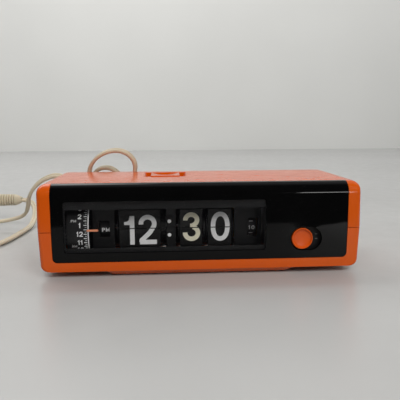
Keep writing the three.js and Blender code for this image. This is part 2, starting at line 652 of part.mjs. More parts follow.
const PLUG = { y: 159, z: 21.6, tip: -168, tail: -174.5, neck: -195, body: -223, pins: -242 };
function strainRelief() {
  const { neck, tail, tip, y, z } = PLUG;
  return turnX([[neck, 0], [neck, 6.2], [tail, 5.6], [tip, 3], [tip, 0]], y, z, 16);
}
add("plug_strain_relief", strainRelief(), IVORY);
add("plug_body", rodX(19, PLUG.body, PLUG.neck - 0.3, PLUG.y, PLUG.z, 32), IVORY);
[-9.5, 9.5].forEach((offset, index) => {
  add(`plug_pin_${index + 1}`, rodX(2.3, PLUG.pins, PLUG.body - 0.3, PLUG.y + offset, PLUG.z, 12), STEEL);
});

export default clock;
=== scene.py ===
# The looks of a mains flip number clock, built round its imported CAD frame.
# The frame is in metres, with +X right, -Y front and +Z up. The clock's own sizes are in millimetres.
import math

import bmesh
import bpy
from mathutils import Matrix, Vector


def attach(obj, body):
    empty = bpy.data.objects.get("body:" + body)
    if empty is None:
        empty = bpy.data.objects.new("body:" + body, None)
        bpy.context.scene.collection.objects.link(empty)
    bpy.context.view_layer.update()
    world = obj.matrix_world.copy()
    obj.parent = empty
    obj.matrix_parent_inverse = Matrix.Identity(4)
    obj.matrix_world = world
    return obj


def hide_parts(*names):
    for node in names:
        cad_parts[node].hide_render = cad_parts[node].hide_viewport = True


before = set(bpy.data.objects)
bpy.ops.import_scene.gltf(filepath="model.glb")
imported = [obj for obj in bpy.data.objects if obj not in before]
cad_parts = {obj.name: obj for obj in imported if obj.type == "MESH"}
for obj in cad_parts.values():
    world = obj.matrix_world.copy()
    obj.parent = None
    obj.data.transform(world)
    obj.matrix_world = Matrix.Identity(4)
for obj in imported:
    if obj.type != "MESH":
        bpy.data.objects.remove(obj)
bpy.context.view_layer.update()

MM = 0.001

# ---- driving sizes, in millimetres
CASE_WIDTH = 206.5
CASE_FRONT = -47.0
CASE_REAR = 43.0
CASE_BOTTOM = 4.0
CASE_TOP = 59.8
SEAM_Z = 29.7
SEAM_GAP = 0.24
WALL = 2.2
UPPER_DRAFT = math.tan(math.radians(0.5))
LOWER_DRAFT = math.tan(math.radians(2.0))
FRONT_FILLET = 8.0
SIDE_FILLET = 5.0
BOTTOM_FILLET = 4.0
REAR_FILLET = 5.0
CORNER = 3.0

PANEL_HALF = 94.3
PANEL_BOTTOM = 10.2
PANEL_REAR = -39.3
PANEL_THICK = 2.5
PANEL_GAP = 0.25
WINDOW = (-87.0, 41.4, 15.9, 48.9)
SLOT = (57.2, 77.8, 15.1, 30.6)
KNOB_X = 65.0
KNOB_Z = 22.85
KNOB_SHAFT_Z = 43.5
TIME_KNOB_X = 34.0
ALARM_KNOB_X = -89.5

AXIS_Y = -21.0
AXIS_Z = 28.4
MAIN_AXIS = (0, AXIS_Y, AXIS_Z)
FLAPS = {"hour": (-53.7, -26.6), "tens": (-13.6, 1.2), "ones": (5.1, 20.7)}
FLAP_SPLIT = 28.45
SNOOZE = {"left": -38.5, "right": -7.1, "front": -3.0, "rear": 29.0, "floor": 55.5, "slope": 4.0}


# ---- mesh helpers
def new_object(name, mesh):
    obj = bpy.data.objects.new(name, mesh)
    bpy.context.scene.collection.objects.link(obj)
    return obj


def mesh_object(name, verts, faces, scale=MM):
    """A mesh object from points in millimetres, with its faces turned outwards."""
    mesh = bpy.data.meshes.new(name)
    mesh.from_pydata([Vector(v) * scale for v in verts], [], faces)
    body = bmesh.new()
    body.from_mesh(mesh)
    bmesh.ops.recalc_face_normals(body, faces=body.faces)
    body.to_mesh(mesh)
    body.free()
    return new_object(name, mesh)


def loft(rings, closed_ends=True):
    """Points and faces that join rings of equal length, each ring a closed loop."""
    size = len(rings[0])
    verts = [point for ring in rings for point in ring]
    faces = []
    for level in range(len(rings) - 1):
        for i in range(size):
            j = (i + 1) % size
            a = level * size
            faces.append((a + i, a + j, a + size + j, a + size + i))
    if closed_ends:
        faces.append(tuple(reversed(range(size))))
        faces.append(tuple(range(len(verts) - size, len(verts))))
    return verts, faces


def loft_object(name, rings):
    verts, faces = loft(rings)
    return mesh_object(name, verts, faces)


def joined(name, *parts):
    """One object from several, which are used up."""
    verts = []
    faces = []
    for part in parts:
        start = len(verts)
        verts += [v.co.copy() for v in part.data.vertices]
        faces += [tuple(start + i for i in p.vertices) for p in part.data.polygons]
        bpy.data.objects.remove(part)
    return mesh_object(name, verts, faces, scale=1.0)


def applied(obj):
    """Makes the object's modifiers part of its mesh."""
    graph = bpy.context.evaluated_depsgraph_get()
    mesh = bpy.data.meshes.new_from_object(obj.evaluated_get(graph))
    obj.modifiers.clear()
    obj.data = mesh
    return obj


def boolean(obj, tool, operation="DIFFERENCE"):
    step = obj.modifiers.new("boolean", "BOOLEAN")
    step.operation = operation
    step.object = tool
    step.solver = "EXACT"
    applied(obj)
    bpy.data.objects.remove(tool)
    return obj


def shade(obj, angle=35):
    """Smooth shading with hard edges kept where faces meet above the angle."""
    mesh = obj.data
    body = bmesh.new()
    body.from_mesh(mesh)
    limit = math.radians(angle)
    for edge in body.edges:
        edge.smooth = len(edge.link_faces) == 2 and edge.calc_face_angle(0.0) < limit
    for face in body.faces:
        face.smooth = True
    body.to_mesh(mesh)
    body.free()
    return obj


def bevel(obj, width, segments=2, angle=35):
    """Rounds the object's sharp edges by width millimetres."""
    step = obj.modifiers.new("bevel", "BEVEL")
    step.width = width * MM
    step.segments = segments
    step.limit_method = "ANGLE"
    step.angle_limit = math.radians(angle)
    step.harden_normals = True
    step.use_clamp_overlap = True
    step.miter_outer = "MITER_ARC"
    return shade(obj, 60)


def block(name, x0, x1, y0, y1, z0, z1):
    rings = [[(x0, y0, z), (x1, y0, z), (x1, y1, z), (x0, y1, z)] for z in (z0, z1)]
    return loft_object(name, rings)


def arc(cx, cy, radius, start, end, steps):
    """Points on an arc, with its angles in degrees."""
    angles = [math.radians(start + (end - start) * i / steps) for i in range(steps + 1)]
    return [(cx + radius * math.cos(a), cy + radius * math.sin(a)) for a in angles]


def toothed(cx, cy, teeth, tooth, first=0.0):
    """An outline of teeth round a centre, each tooth's points given by radius and share of the pitch."""
    points = [(radius, math.radians(first) + 2 * math.pi * (index + part) / teeth)
              for index in range(teeth) for radius, part in tooth]
    return [(cx + radius * math.cos(a), cy + radius * math.sin(a)) for radius, a in points]


def rounded(x0, x1, y0, y1, radius, steps=8):
    """The outline of a rectangle with rounded corners."""
    return (arc(x1 - radius, y0 + radius, radius, -90, 0, steps)
            + arc(x1 - radius, y1 - radius, radius, 0, 90, steps)
            + arc(x0 + radius, y1 - radius, radius, 90, 180, steps)
            + arc(x0 + radius, y0 + radius, radius, 180, 270, steps))


def prism(name, outline, low, high, axis="z"):
    """An outline extruded along an axis: (x, y) along z, (x, z) along y or (y, z) along x."""
    place = {
        "z": lambda a, b, t: (a, b, t),
        "y": lambda a, b, t: (a, t, b),
        "x": lambda a, b, t: (t, a, b),
    }[axis]
    return loft_object(name, [[place(a, b, t) for a, b in outline] for t in (low, high)])


def lathe(name, profile, centre, axis="x", steps=48):
    """A profile of (along, radius) points turned about an axis through centre.
    A profile that ends on the axis is capped there, and any other closes on itself."""
    cx, cy, cz = centre
    place = {
        "x": lambda t, r, c, s: (t, cy + r * c, cz + r * s),
        "y": lambda t, r, c, s: (cx + r * c, t, cz + r * s),
        "z": lambda t, r, c, s: (cx + r * c, cy + r * s, t),
    }[axis]
    turn = [2 * math.pi * i / steps for i in range(steps)]
    rings = [[place(along, max(radius, 1e-5), math.cos(a), math.sin(a)) for a in turn]
             for along, radius in profile]
    solid = profile[0][1] < 1e-6
    if not solid:
        rings.append(rings[0])
    verts, faces = loft(rings, closed_ends=solid)
    obj = mesh_object(name, verts, faces)
    body = bmesh.new()
    body.from_mesh(obj.data)
    bmesh.ops.remove_doubles(body, verts=body.verts, dist=2e-7)
    bmesh.ops.recalc_face_normals(body, faces=body.faces)
    body.to_mesh(obj.data)
    body.free()
    return obj


def rod(name, low, high, radius, centre, axis="x", steps=48):
    """A plain round rod between two places along an axis."""
    return lathe(name, [(low, 0), (low, radius), (high, radius), (high, 0)], centre, axis, steps)


def finish_piece(obj, material, body, *replaced, slot=None):
    """Gives a piece its material, its CAD body and the CAD nodes that it stands for, which are hidden; its
    CAD slot is looked up but not kept.
    """
    obj.data.materials.clear()
    obj.data.materials.append(material)
    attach(obj, body)
    if replaced:
        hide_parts(*replaced)
    slot or SLOT_OF[material.name]
    return obj


# ---- materials
SLOT_OF = {}


class Nodes:
    """A material's node tree, with the textures that the materials share, and its slot in CAD."""

    def __init__(self, name, slot=None):
        self.material = bpy.data.materials.new(name)
        SLOT_OF[self.material.name] = slot
        self.material.use_nodes = True
        self.tree = self.material.node_tree
        self.shader = self.tree.nodes["Principled BSDF"]
        self.place = self.add("ShaderNodeTexCoord").outputs["Object"]

    def add(self, kind, inputs=None, **settings):
        """A node with its settings, and its inputs given as values or as other nodes' sockets."""
        node = self.tree.nodes.new(kind)
        for key, value in settings.items():
            setattr(node, key, value)
        for key, value in (inputs or {}).items():
            if hasattr(value, "is_output"):
                self.tree.links.new(value, node.inputs[key])
            else:
                node.inputs[key].default_value = value
        return node

    def feed(self, socket, source):
        self.tree.links.new(source, self.shader.inputs[socket])

    def stretched(self, scale):
        """The object's coordinates, scaled along each axis."""
        return self.add("ShaderNodeMapping", {"Scale": scale, "Vector": self.place}).outputs["Vector"]

    def noise(self, scale, detail=3.0, roughness=0.55, place=None):
        inputs = {"Scale": scale, "Detail": detail, "Roughness": roughness, "Vector": place or self.place}
        return self.add("ShaderNodeTexNoise", inputs).outputs["Fac"]

    def ranged(self, value, low, high, to_low, to_high):
        inputs = {"From Min": low, "From Max": high, "To Min": to_low, "To Max": to_high, "Value": value}
        return self.add("ShaderNodeMapRange", inputs).outputs["Result"]

    def mixed(self, factor, first, second):
        """A colour between two, each a colour or a socket."""
        ends = [end if hasattr(end, "is_output") else (*end, 1.0) for end in (first, second)]
        inputs = {0: factor, 6: ends[0], 7: ends[1]}
        return self.add("ShaderNodeMix", inputs, data_type="RGBA").outputs[2]

    def bump(self, height, strength, distance, below=None):
        inputs = {"Strength": strength, "Distance": distance, "Height": height}
        if below:
            inputs["Normal"] = below
        return self.add("ShaderNodeBump", inputs).outputs["Normal"]

    def set(self, **values):
        for key, value in values.items():
            self.shader.inputs[key.replace("_", " ").title().replace("Ior", "IOR")].default_value = value


def shades(color, spread):
    """A darker and a lighter shade of a colour."""
    return [tuple(min(1.0, c * k) for c in color) for k in (1 - spread, 1 + spread)]


def plastic(name, slot, color, roughness, spread=0.05, blotch=55.0, grain=2600.0, grain_height=0.012,
            rough_spread=0.05, dust=0.0, worn=None, wave=0.03, **uniform):
    """Moulded plastic: slight mottling, fine grain, uneven gloss, and dust or wear where it has any."""
    n = Nodes(name, slot)
    dark, light = shades(color, spread)
    color_out = n.mixed(n.ranged(n.noise(blotch), 0.3, 0.7, 0, 1), dark, light)
    if worn:
        flecks = n.ranged(n.noise(430.0, detail=5, roughness=0.7), 0.64, 0.74, 0, 0.55)
        color_out = n.mixed(flecks, color_out, worn)
    if dust:
        specks = n.ranged(n.noise(1500.0, detail=2), 0.68, 0.76, 0, dust)
        color_out = n.mixed(specks, color_out, (0.42, 0.41, 0.39))
    n.feed("Base Color", color_out)
    gloss = n.ranged(n.noise(140.0, detail=4), 0.3, 0.7, roughness - rough_spread, roughness + rough_spread)
    n.feed("Roughness", gloss)
    fine = n.bump(n.noise(grain, detail=2), 0.5, grain_height * MM)
    wavy = n.bump(n.noise(38.0, detail=1), 0.25, wave * MM, below=fine)
    n.feed("Normal", wavy)
    n.set(**uniform)
    return n.material


def metal(name, slot, color, roughness, brushed=(1, 1, 1), stain=None, **uniform):
    """Metal with a brushed grain along one axis and faint stains."""
    n = Nodes(name, slot)
    dark, light = shades(color, 0.1)
    lines = n.noise(900.0, detail=4, place=n.stretched(brushed))
    color_out = n.mixed(n.ranged(lines, 0.3, 0.7, 0, 1), dark, light)
    if stain:
        patches = n.ranged(n.noise(90.0, detail=5), 0.52, 0.68, 0, 0.6)
        color_out = n.mixed(patches, color_out, stain)
    n.feed("Base Color", color_out)
    n.feed("Roughness", n.ranged(lines, 0.3, 0.7, roughness - 0.08, roughness + 0.1))
    n.feed("Normal", n.bump(lines, 0.35, 0.02 * MM))
    n.set(metallic=1.0, **uniform)
    return n.material


def smoked_window():
    """Clear smoked acrylic: a film of grey with faint dust and hairline scratches on its gloss."""
    n = Nodes("smoked_window", "black_acrylic")
    dust = n.ranged(n.noise(1700.0, detail=2), 0.66, 0.75, 0, 0.5)
    n.feed("Base Color", n.mixed(dust, (0.012, 0.012, 0.014), (0.30, 0.30, 0.30)))
    lines = n.noise(700.0, detail=5, place=n.stretched((0.08, 1.0, 1.6)))
    n.feed("Roughness", n.ranged(lines, 0.35, 0.7, 0.03, 0.10))
    n.feed("Normal", n.bump(lines, 0.1, 0.004 * MM))
    n.feed("Alpha", n.ranged(n.noise(1700.0, detail=2), 0.66, 0.75, 0.06, 0.14))
    n.set(ior=1.49, specular_ior_level=0.08)
    return n.material


ORANGE_COLOR = (0.60, 0.086, 0.0025)
ORANGE = plastic("orange_case", "orange_abs", ORANGE_COLOR, 0.20, spread=0.03, blotch=24.0, dust=0.04,
                 ior=1.50, grain_height=0.001, rough_spread=0.03, wave=0.0015, specular_ior_level=0.42)
ORANGE_KNOB = plastic("orange_knob", "orange_knob", (0.60, 0.080, 0.003), 0.34, spread=0.05,
                      worn=(0.70, 0.28, 0.12))
ORANGE_POINTER = plastic("orange_pointer", "orange_knob", (0.80, 0.30, 0.16), 0.5, spread=0.05)
PANEL_BLACK = plastic("panel_black", "black_acrylic", (0.0015, 0.0015, 0.0016), 0.06, spread=0.2,
                      grain_height=0.002, rough_spread=0.02, dust=0.05, wave=0.01, ior=1.45,
                      specular_ior_level=0.24)
WINDOW_GREY = smoked_window()
MASK_BLACK = plastic("mask_black", "black_acrylic", (0.006, 0.006, 0.0065), 0.6, spread=0.15)
DARK_PLASTIC = plastic("dark_plastic", "dark_plastic", (0.016, 0.016, 0.017), 0.42, spread=0.15, dust=0.3)
FLAP_BLACK = plastic("flap_black", "flap_plastic", (0.008, 0.0078, 0.008), 0.5, spread=0.12, grain=1800.0)
DRUM_BLACK = plastic("drum_black", "drum_plastic", (0.008, 0.008, 0.0085), 0.48, spread=0.15)
RAIL_GREY = plastic("rail_grey", "black_acrylic", (0.008, 0.008, 0.0085), 0.6, spread=0.12, dust=0.2)
PRINT_GREY = plastic("print_grey", "dial_plastic", (0.50, 0.50, 0.50), 0.55, spread=0.06, blotch=260.0)
PRINT_WHITE = plastic("print_white", "dial_plastic", (0.86, 0.87, 0.88), 0.55, spread=0.05, blotch=260.0)
PRINT_CREAM = plastic("print_cream", "dial_plastic", (0.86, 0.83, 0.66), 0.55, spread=0.05, blotch=260.0)
PRINT_DIM = plastic("print_dim", "dial_plastic", (0.20, 0.20, 0.20), 0.55, spread=0.06, blotch=260.0)
IVORY = plastic("ivory_pvc", "ivory_pvc", (0.57, 0.50, 0.37), 0.42, spread=0.09, blotch=30.0, grain=1400.0,
                grain_height=0.02, dust=0.35, worn=(0.36, 0.28, 0.18), subsurface_weight=0.06,
                subsurface_scale=0.002)
WHITE_PLASTIC = plastic("white_plastic", "white_plastic", (0.66, 0.64, 0.58), 0.45, spread=0.06)
RUBBER = plastic("foot_rubber", "foot_rubber", (0.02, 0.02, 0.02), 0.8, spread=0.2, grain=1100.0,
                 grain_height=0.04, dust=0.5)
STEEL = metal("frame_steel", "frame_steel", (0.53, 0.54, 0.55), 0.34, brushed=(1, 0.08, 1),
              stain=(0.34, 0.33, 0.30))
SPRING_STEEL = metal("spring_steel", "spring_steel", (0.36, 0.38, 0.42), 0.30, brushed=(0.1, 1, 1))
MOTOR_STEEL = metal("motor_steel", "motor_steel", (0.50, 0.50, 0.49), 0.38, brushed=(0.1, 1, 1),
                    stain=(0.33, 0.31, 0.27))
BRASS = metal("gear_brass", "gear_brass", (0.58, 0.40, 0.15), 0.30, brushed=(0.2, 1, 1),
              stain=(0.30, 0.19, 0.08))
COPPER = metal("coil_copper", "coil_brass", (0.50, 0.20, 0.09), 0.35, brushed=(1, 1, 9))
NICKEL = metal("plug_nickel", "plug_nickel", (0.62, 0.61, 0.58), 0.22, brushed=(0.1, 1, 1),
               stain=(0.42, 0.39, 0.34))


def lamp_glass():
    """The clear glass of a small neon lamp, with a warm tint inside."""
    n = Nodes("lamp_glass", "lamp_glass")
    warm = n.ranged(n.noise(420.0), 0.35, 0.65, 0, 1)
    n.feed("Base Color", n.mixed(warm, (0.85, 0.42, 0.20), (0.92, 0.72, 0.55)))
    n.feed("Roughness", n.ranged(n.noise(900.0), 0.3, 0.7, 0.04, 0.12))
    n.set(alpha=0.45, ior=1.5)
    return n.material


LAMP_GLASS = lamp_glass()


# ---- camera
def make_camera():
    """A viewpoint a little left of the middle and slightly above, looking down."""
    yaw = math.radians(3.712)
    pitch = math.radians(8.427)
    roll = math.radians(-0.311)
    forward = Vector((math.sin(yaw) * math.cos(pitch), math.cos(yaw) * math.cos(pitch), -math.sin(pitch)))
    right = Vector((math.cos(yaw), -math.sin(yaw), 0.0))
    up = right.cross(forward)
    turned_right = math.cos(roll) * right + math.sin(roll) * up
    turned_up = -math.sin(roll) * right + math.cos(roll) * up
    data = bpy.data.cameras.new("camera")
    data.sensor_width = 36.0
    data.lens = 46.5
    data.clip_start = 0.01
    camera = new_object("camera", data)
    turn = Matrix((turned_right, turned_up, -forward)).transposed()
    camera.matrix_world = Matrix.Translation(Vector((-22.0, -368.0, 96.8)) * MM) @ turn.to_4x4()
    bpy.context.scene.camera = camera


make_camera()


# ---- floor, backdrop and lights
def make_stage():
    """A pale table top that meets a pale wall well behind the clock."""
    table = block("table_top", -2400, 2400, -205, 1537, -6, 0)
    n = Nodes("table_pale")
    soft = n.ranged(n.noise(5.0, detail=2), 0.35, 0.65, 0, 1)
    n.feed("Base Color", n.mixed(soft, (0.43, 0.43, 0.425), (0.46, 0.46, 0.455)))
    n.feed("Roughness", n.ranged(n.noise(60.0), 0.3, 0.7, 0.28, 0.36))
    n.feed("Normal", n.bump(n.noise(900.0), 0.2, 0.02 * MM))
    table.data.materials.append(n.material)
    wall = block("wall", -3200, 3200, 1537, 1557, -40, 2600)
    n = Nodes("wall_pale")
    soft = n.ranged(n.noise(2.5, detail=2), 0.35, 0.65, 0, 1)
    n.feed("Base Color", n.mixed(soft, (0.77, 0.775, 0.755), (0.80, 0.805, 0.785)))
    n.set(roughness=0.85)
    wall.data.materials.append(n.material)


def area_light(name, place, target, size, watts, color=(1, 1, 1), mirrored=True):
    """A rectangular light. One that is not mirrored lights surfaces but makes no highlight on them."""
    data = bpy.data.lights.new(name, "AREA")
    data.shape = "RECTANGLE"
    data.size, data.size_y = size
    data.energy = watts
    data.color = color
    light = new_object(name, data)
    light.location = place
    aim = Vector(target) - Vector(place)
    light.rotation_euler = aim.to_track_quat("-Z", "Y").to_euler()
    light.visible_glossy = mirrored


def make_world():
    """A room that is bright behind the clock and dim in front of it."""
    world = bpy.data.worlds.new("room")
    bpy.context.scene.world = world
    world.use_nodes = True
    tree = world.node_tree
    background = tree.nodes["Background"]
    background.inputs["Color"].default_value = (0.97, 0.98, 1.0, 1.0)
    axes = tree.nodes.new("ShaderNodeSeparateXYZ")
    tree.links.new(tree.nodes.new("ShaderNodeTexCoord").outputs["Generated"], axes.inputs[0])
    brightness = tree.nodes.new("ShaderNodeMapRange")
    brightness.interpolation_type = "SMOOTHSTEP"
    for name, value in (("From Min", -0.25), ("From Max", 0.35), ("To Min", 0.05), ("To Max", 0.46)):
        brightness.inputs[name].default_value = value
    tree.links.new(axes.outputs["Y"], brightness.inputs["Value"])
    tree.links.new(brightness.outputs["Result"], background.inputs["Strength"])


def make_lights():
    area_light("window_light", (-0.7, 0.9, 1.3), (0.0, 0.0, 0.03), (1.2, 0.8), 7.5, (1.0, 0.99, 0.97))
    area_light("room_light", (0.25, -1.1, 1.1), (0.0, 0.0, 0.03), (1.4, 0.9), 21.5, (1.0, 0.98, 0.95), False)
    area_light("wall_light", (0.0, 0.75, 1.5), (0.0, 1.537, 0.35), (3.2, 0.6), 17.0, mirrored=False)
    area_light("far_window", (1.1, -3.0, 0.45), (0.0, 0.0, 0.05), (0.5, 0.26), 6.0, (1.0, 0.99, 0.97))
    bpy.context.scene.view_settings.view_transform = "Standard"


make_world()
make_stage()
make_lights()


# ---- mains cord
CORD_WIDTH = 5.4
CORD_THICK = 2.9
CORD_CLEAR = 0.1
GLAND = (58.0, 12.0)
COIL_CENTRE = (25.3, 108.0)
COIL_TURNS = [(32.7, 5.4), (27.3, 5.4), (24.6, 2.0), (30.0, 2.0), (35.4, 2.0)]
LEAD_ROUTE = [(58, 65.3, 12), (58, 71, 11.3), (58, 77.8, 8.8), (58, 92, 5.6)]
TAIL_ROUTE = [
    (6, 143.4, 2.3), (-12, 142.5, 2.3), (-30, 136, 2.3), (-45, 123, 2.3), (-57, 106, 2.3), (-68, 89, 3),
    (-77, 75, 8), (-83.5, 66, 18), (-86, 58.5, 32), (-85.5, 51.5, 47),
    (-83.4, 47.2, 57.6), (-81.5, 44.4, 64.1), (-77.3, 42.2, 69.7), (-71.6, 40.7, 73.7), (-65.1, 39.8, 76),
    (-58.5, 39.7, 76.2), (-52, 40.3, 73.6), (-47.8, 41.9, 68.6), (-46.6, 44, 62.5), (-48.4, 47.3, 55.5),
    (-52, 51.8, 45.5), (-54.5, 57.5, 31), (-58, 64, 16), (-65, 68.5, 7.5), (-74, 71.5, 6.5), (-81.5, 73, 12),
    (-85.5, 71, 24), (-85.5, 64, 38), (-83.5, 58.7, 49.5),
    (-81.1, 56, 56.8), (-74.9, 54.3, 61.3), (-67.3, 54.3, 61.3), (-61.1, 55.8, 56.8), (-58.7, 58.6, 49.5),
    (-59, 62.3, 40), (-63, 67.5, 29.5), (-71.2, 73.7, 22.8), (-81.8, 78, 25), (-92, 79, 34), (-100, 77, 45),
    (-107, 75, 51.3), (-115, 73.6, 53.9), (-123.5, 73, 51.7), (-130.5, 73.5, 47.2), (-135.8, 74.2, 41.2),
    (-139.4, 77.3, 34.6), (-142.3, 84, 27), (-146.5, 92.2, 19.6), (-153.5, 99.3, 14.6), (-163, 103, 11.6),
    (-176, 103.3, 9.4), (-190, 102, 6.5), (-202, 97.5, 3.5), (-210, 88, 2.4), (-212, 75, 2.3),
    (-208, 61, 2.3), (-199, 48, 2.3), (-187, 38, 2.3), (-173, 33, 2.3), (-161.5, 37, 2.3), (-156, 50, 2.3),
    (-153, 67, 2.3), (-151.4, 84, 2.3), (-150.4, 100, 2.3), (-149.8, 114, 2.6), (-149.8, 126, 4.6),
    (-150.4, 136.6, 8.8), (-152.2, 146.4, 14.2), (-156.8, 154.2, 18.8), (-161.8, 157.4, 20.8),
    (-167.5, 159, 21.6),
]
PLUG = {"y": 159.0, "z": 21.6, "tip": -168.0, "tail": -174.5, "neck": -195.0, "body": -223.0, "pins": -242.0}


def smooth_route(points, step=1.6):
    """A Catmull-Rom curve through the points, sampled about every step millimetres."""
    knots = [Vector(p) for p in points]
    knots = [2 * knots[0] - knots[1], *knots, 2 * knots[-1] - knots[-2]]
    route = []
    for a, b, c, d in zip(knots, knots[1:], knots[2:], knots[3:]):
        count = max(2, round((c - b).length / step))
        for i in range(count):
            t = i / count
            route.append(0.5 * (2 * b + (c - a) * t + (2 * a - 5 * b + 4 * c - d) * t * t
                                + (3 * b - 3 * c + d - a) * t ** 3))
    route.append(knots[-2])
    return route


def coil_route():
    """The coil's turns, each sliding into the next over its last fifth, and a last quarter turn."""
    cx, cy = COIL_CENTRE
    steps = 60
    points = []
    for turn, (radius, height) in enumerate(COIL_TURNS):
        after = COIL_TURNS[min(turn + 1, len(COIL_TURNS) - 1)]
        for i in range(steps):
            share = max(0.0, (i / steps - 0.8) / 0.2)
            share = share * share * (3 - 2 * share)
            r = radius + (after[0] - radius) * share
            z = height + (after[1] - height) * share
            a = 2 * math.pi * i / steps
            points.append(Vector((cx + r * math.cos(a), cy + r * math.sin(a), z)))
    radius, height = COIL_TURNS[-1]
    for i in range(steps // 4 + 1):
        a = 2 * math.pi * i / steps
        points.append(Vector((cx + radius * math.cos(a), cy + radius * math.sin(a), height)))
    return points


def twin_section():
    """The outline of flat twin flex: two round cores side by side with a groove between them."""
    radius = CORD_THICK / 2
    offset = CORD_WIDTH / 2 - radius
    meet = math.degrees(math.acos(-offset / radius))
    right = arc(offset, 0, radius, -meet, meet, 12)
    left = arc(-offset, 0, radius, 180 - meet, 180 + meet, 12)
    return right[:-1] + left[:-1]


def width_directions(line):
    """Which way the flex's width points at each point: level where it lies on the table, and
    mostly front to back where it stands up or arches."""
    widths = []
    width = Vector((1.0, 0.0, 0.0))
    for i, point in enumerate(line):
        along = (line[min(i + 1, len(line) - 1)] - line[max(i - 1, 0)]).normalized()
        level = along.cross(Vector((0, 0, 1)))
        leaning = Vector((0.25, 0.85, 0.45))
        leaning -= along * leaning.dot(along)
        standing = max(0.0, min(1.0, (point.z - 11.0) / 10.0))
        if point.x > 0:
            standing = 0.0
        if level.dot(leaning) < 0:
            level = -level
        wanted = level.normalized() * (1 - standing) + leaning.normalized() * standing
        if wanted.dot(width) < 0:
            wanted = -wanted
        width = (width + 0.16 * wanted).normalized()
        width = (width - along * width.dot(along)).normalized()
        widths.append((along, width.copy()))
    return widths


def make_cord():
    line = smooth_route([*LEAD_ROUTE, *coil_route()[6::6], *TAIL_ROUTE])
    outline = twin_section()
    rings = []
    for point, (along, width) in zip(line, width_directions(line)):
        thick = along.cross(width).normalized()
        ring = [point + width * a + thick * b for a, b in outline]
        lift = max(0.0, CORD_CLEAR - min(corner.z for corner in ring))
        rings.append([corner + Vector((0, 0, lift)) for corner in ring])
    cord = loft_object("mains_cord", rings)
    finish_piece(shade(cord, 50), IVORY, "case", "cord_lead", "cord_coil", "cord_tail")
    return cord, line


def ribbed(ends, radii, rib_pitch, depth):
    """The profile of a tapered sleeve with rounded ribs along it."""
    start, end = ends
    count = max(2, round(abs(end - start) / rib_pitch))
    profile = []
    for rib in range(count):
        for part, share in ((0.0, 0.0), (0.16, 0.85), (0.32, 1.0), (0.62, 1.0), (0.78, 0.85), (0.94, 0.0)):
            t = (rib + part) / count
            radius = radii[0] + (radii[1] - radii[0]) * t
            profile.append((start + (end - start) * t, radius - depth * (1 - share)))
    return profile


def make_gland():
    x, z = GLAND
    profile = [(38.5, 0), (38.5, 3.2), (42.6, 3.2), (42.6, 5.4), (43.0, 5.9), (44.3, 5.9), (44.8, 5.3)]
    profile += ribbed((45.2, 62.5), (4.6, 3.5), 2.6, 0.7)
    profile += [(63.2, 3.3), (64.6, 3.2), (65.0, 2.9), (65.0, 0)]
    gland = lathe("cord_grommet", profile, (x, 0, z), axis="y", steps=40)
    finish_piece(shade(gland, 40), IVORY, "case", "cord_gland")
    return gland


def make_plug():
    y, z = PLUG["y"], PLUG["z"]
    tip, tail, neck, low = PLUG["tip"], PLUG["tail"], PLUG["neck"], PLUG["body"]
    nose = [(0, 0), (0, 2.9), (1.5, 3.7), (3.5, 4.7), (5.5, 5.4)]
    relief = [(tip - x, radius) for x, radius in nose] + [(tail, 5.6)]
    relief += ribbed((tail - 0.3, neck + 0.6), (5.7, 6.2), 2.5, 1.5)
    relief += [(neck + 0.1, 6.0), (neck + 0.1, 0)]
    sleeve = lathe("plug_sleeve", relief, (0, y, z), steps=40)
    finish_piece(shade(sleeve, 40), IVORY, "case", "plug_strain_relief")
    shoulder = [(0.3, 0), (0.3, 6.5), (1.6, 8.4), (4.5, 11.0), (7.0, 14.6), (9.0, 17.4), (11.0, 18.6),
                (13.0, 19.0)]
    face = [(2.6, 19.0), (0.8, 18.5), (0, 17.4), (0, 15.6), (0.7, 15.2), (0.7, 0)]
    body = [(neck - x, radius) for x, radius in shoulder] + [(low + x, radius) for x, radius in face]
    shell = lathe("plug_shell", body, (0, y, z), steps=64)
    finish_piece(shade(shell, 40), IVORY, "case", "plug_body")
    pieces = [sleeve, shell]
    for index, offset in enumerate((-9.5, 9.5)):
        end = PLUG["pins"]
        pin = [(low + 1.0, 0), (low + 1.0, 2.3), (end + 1.6, 2.3), (end + 0.5, 1.9), (end, 1.2), (end, 0)]
        prong = lathe(f"plug_prong_{index + 1}", pin, (0, y + offset, z), steps=24)
        finish_piece(shade(prong, 40), NICKEL, "case", f"plug_pin_{index + 1}")
        pieces.append(prong)
    return pieces


cord, cord_points = make_cord()
gland = make_gland()
plug_pieces = make_plug()


# ---- case
def wall_inset(z):
    """How far the drafted walls have come in from the seam at a height."""
    return (z - SEAM_Z) * UPPER_DRAFT if z > SEAM_Z else (SEAM_Z - z) * LOWER_DRAFT


def rounding(over, radius):
    """How far a rounded edge comes in, at a distance past the start of its rounding."""
    return radius - math.sqrt(max(0.0, radius * radius - over * over)) if over > 0 else 0.0


def case_ring(z, inset, top, corner):
    """The case's outline at a height, moved in by inset."""
    draft = wall_inset(z) + inset
    fillets = [max(0.6, fillet - inset) for fillet in (FRONT_FILLET, REAR_FILLET, SIDE_FILLET)]
    front, rear, side = [draft + rounding(z - (top - fillet), fillet) for fillet in fillets]
    foot = max(0.4, BOTTOM_FILLET - inset)
    half = CASE_WIDTH / 2 - side - rounding(foot - (z - CASE_BOTTOM - inset), foot)
    return [(x, y, z) for x, y in rounded(-half, half, CASE_FRONT + front, CASE_REAR - rear, corner)]


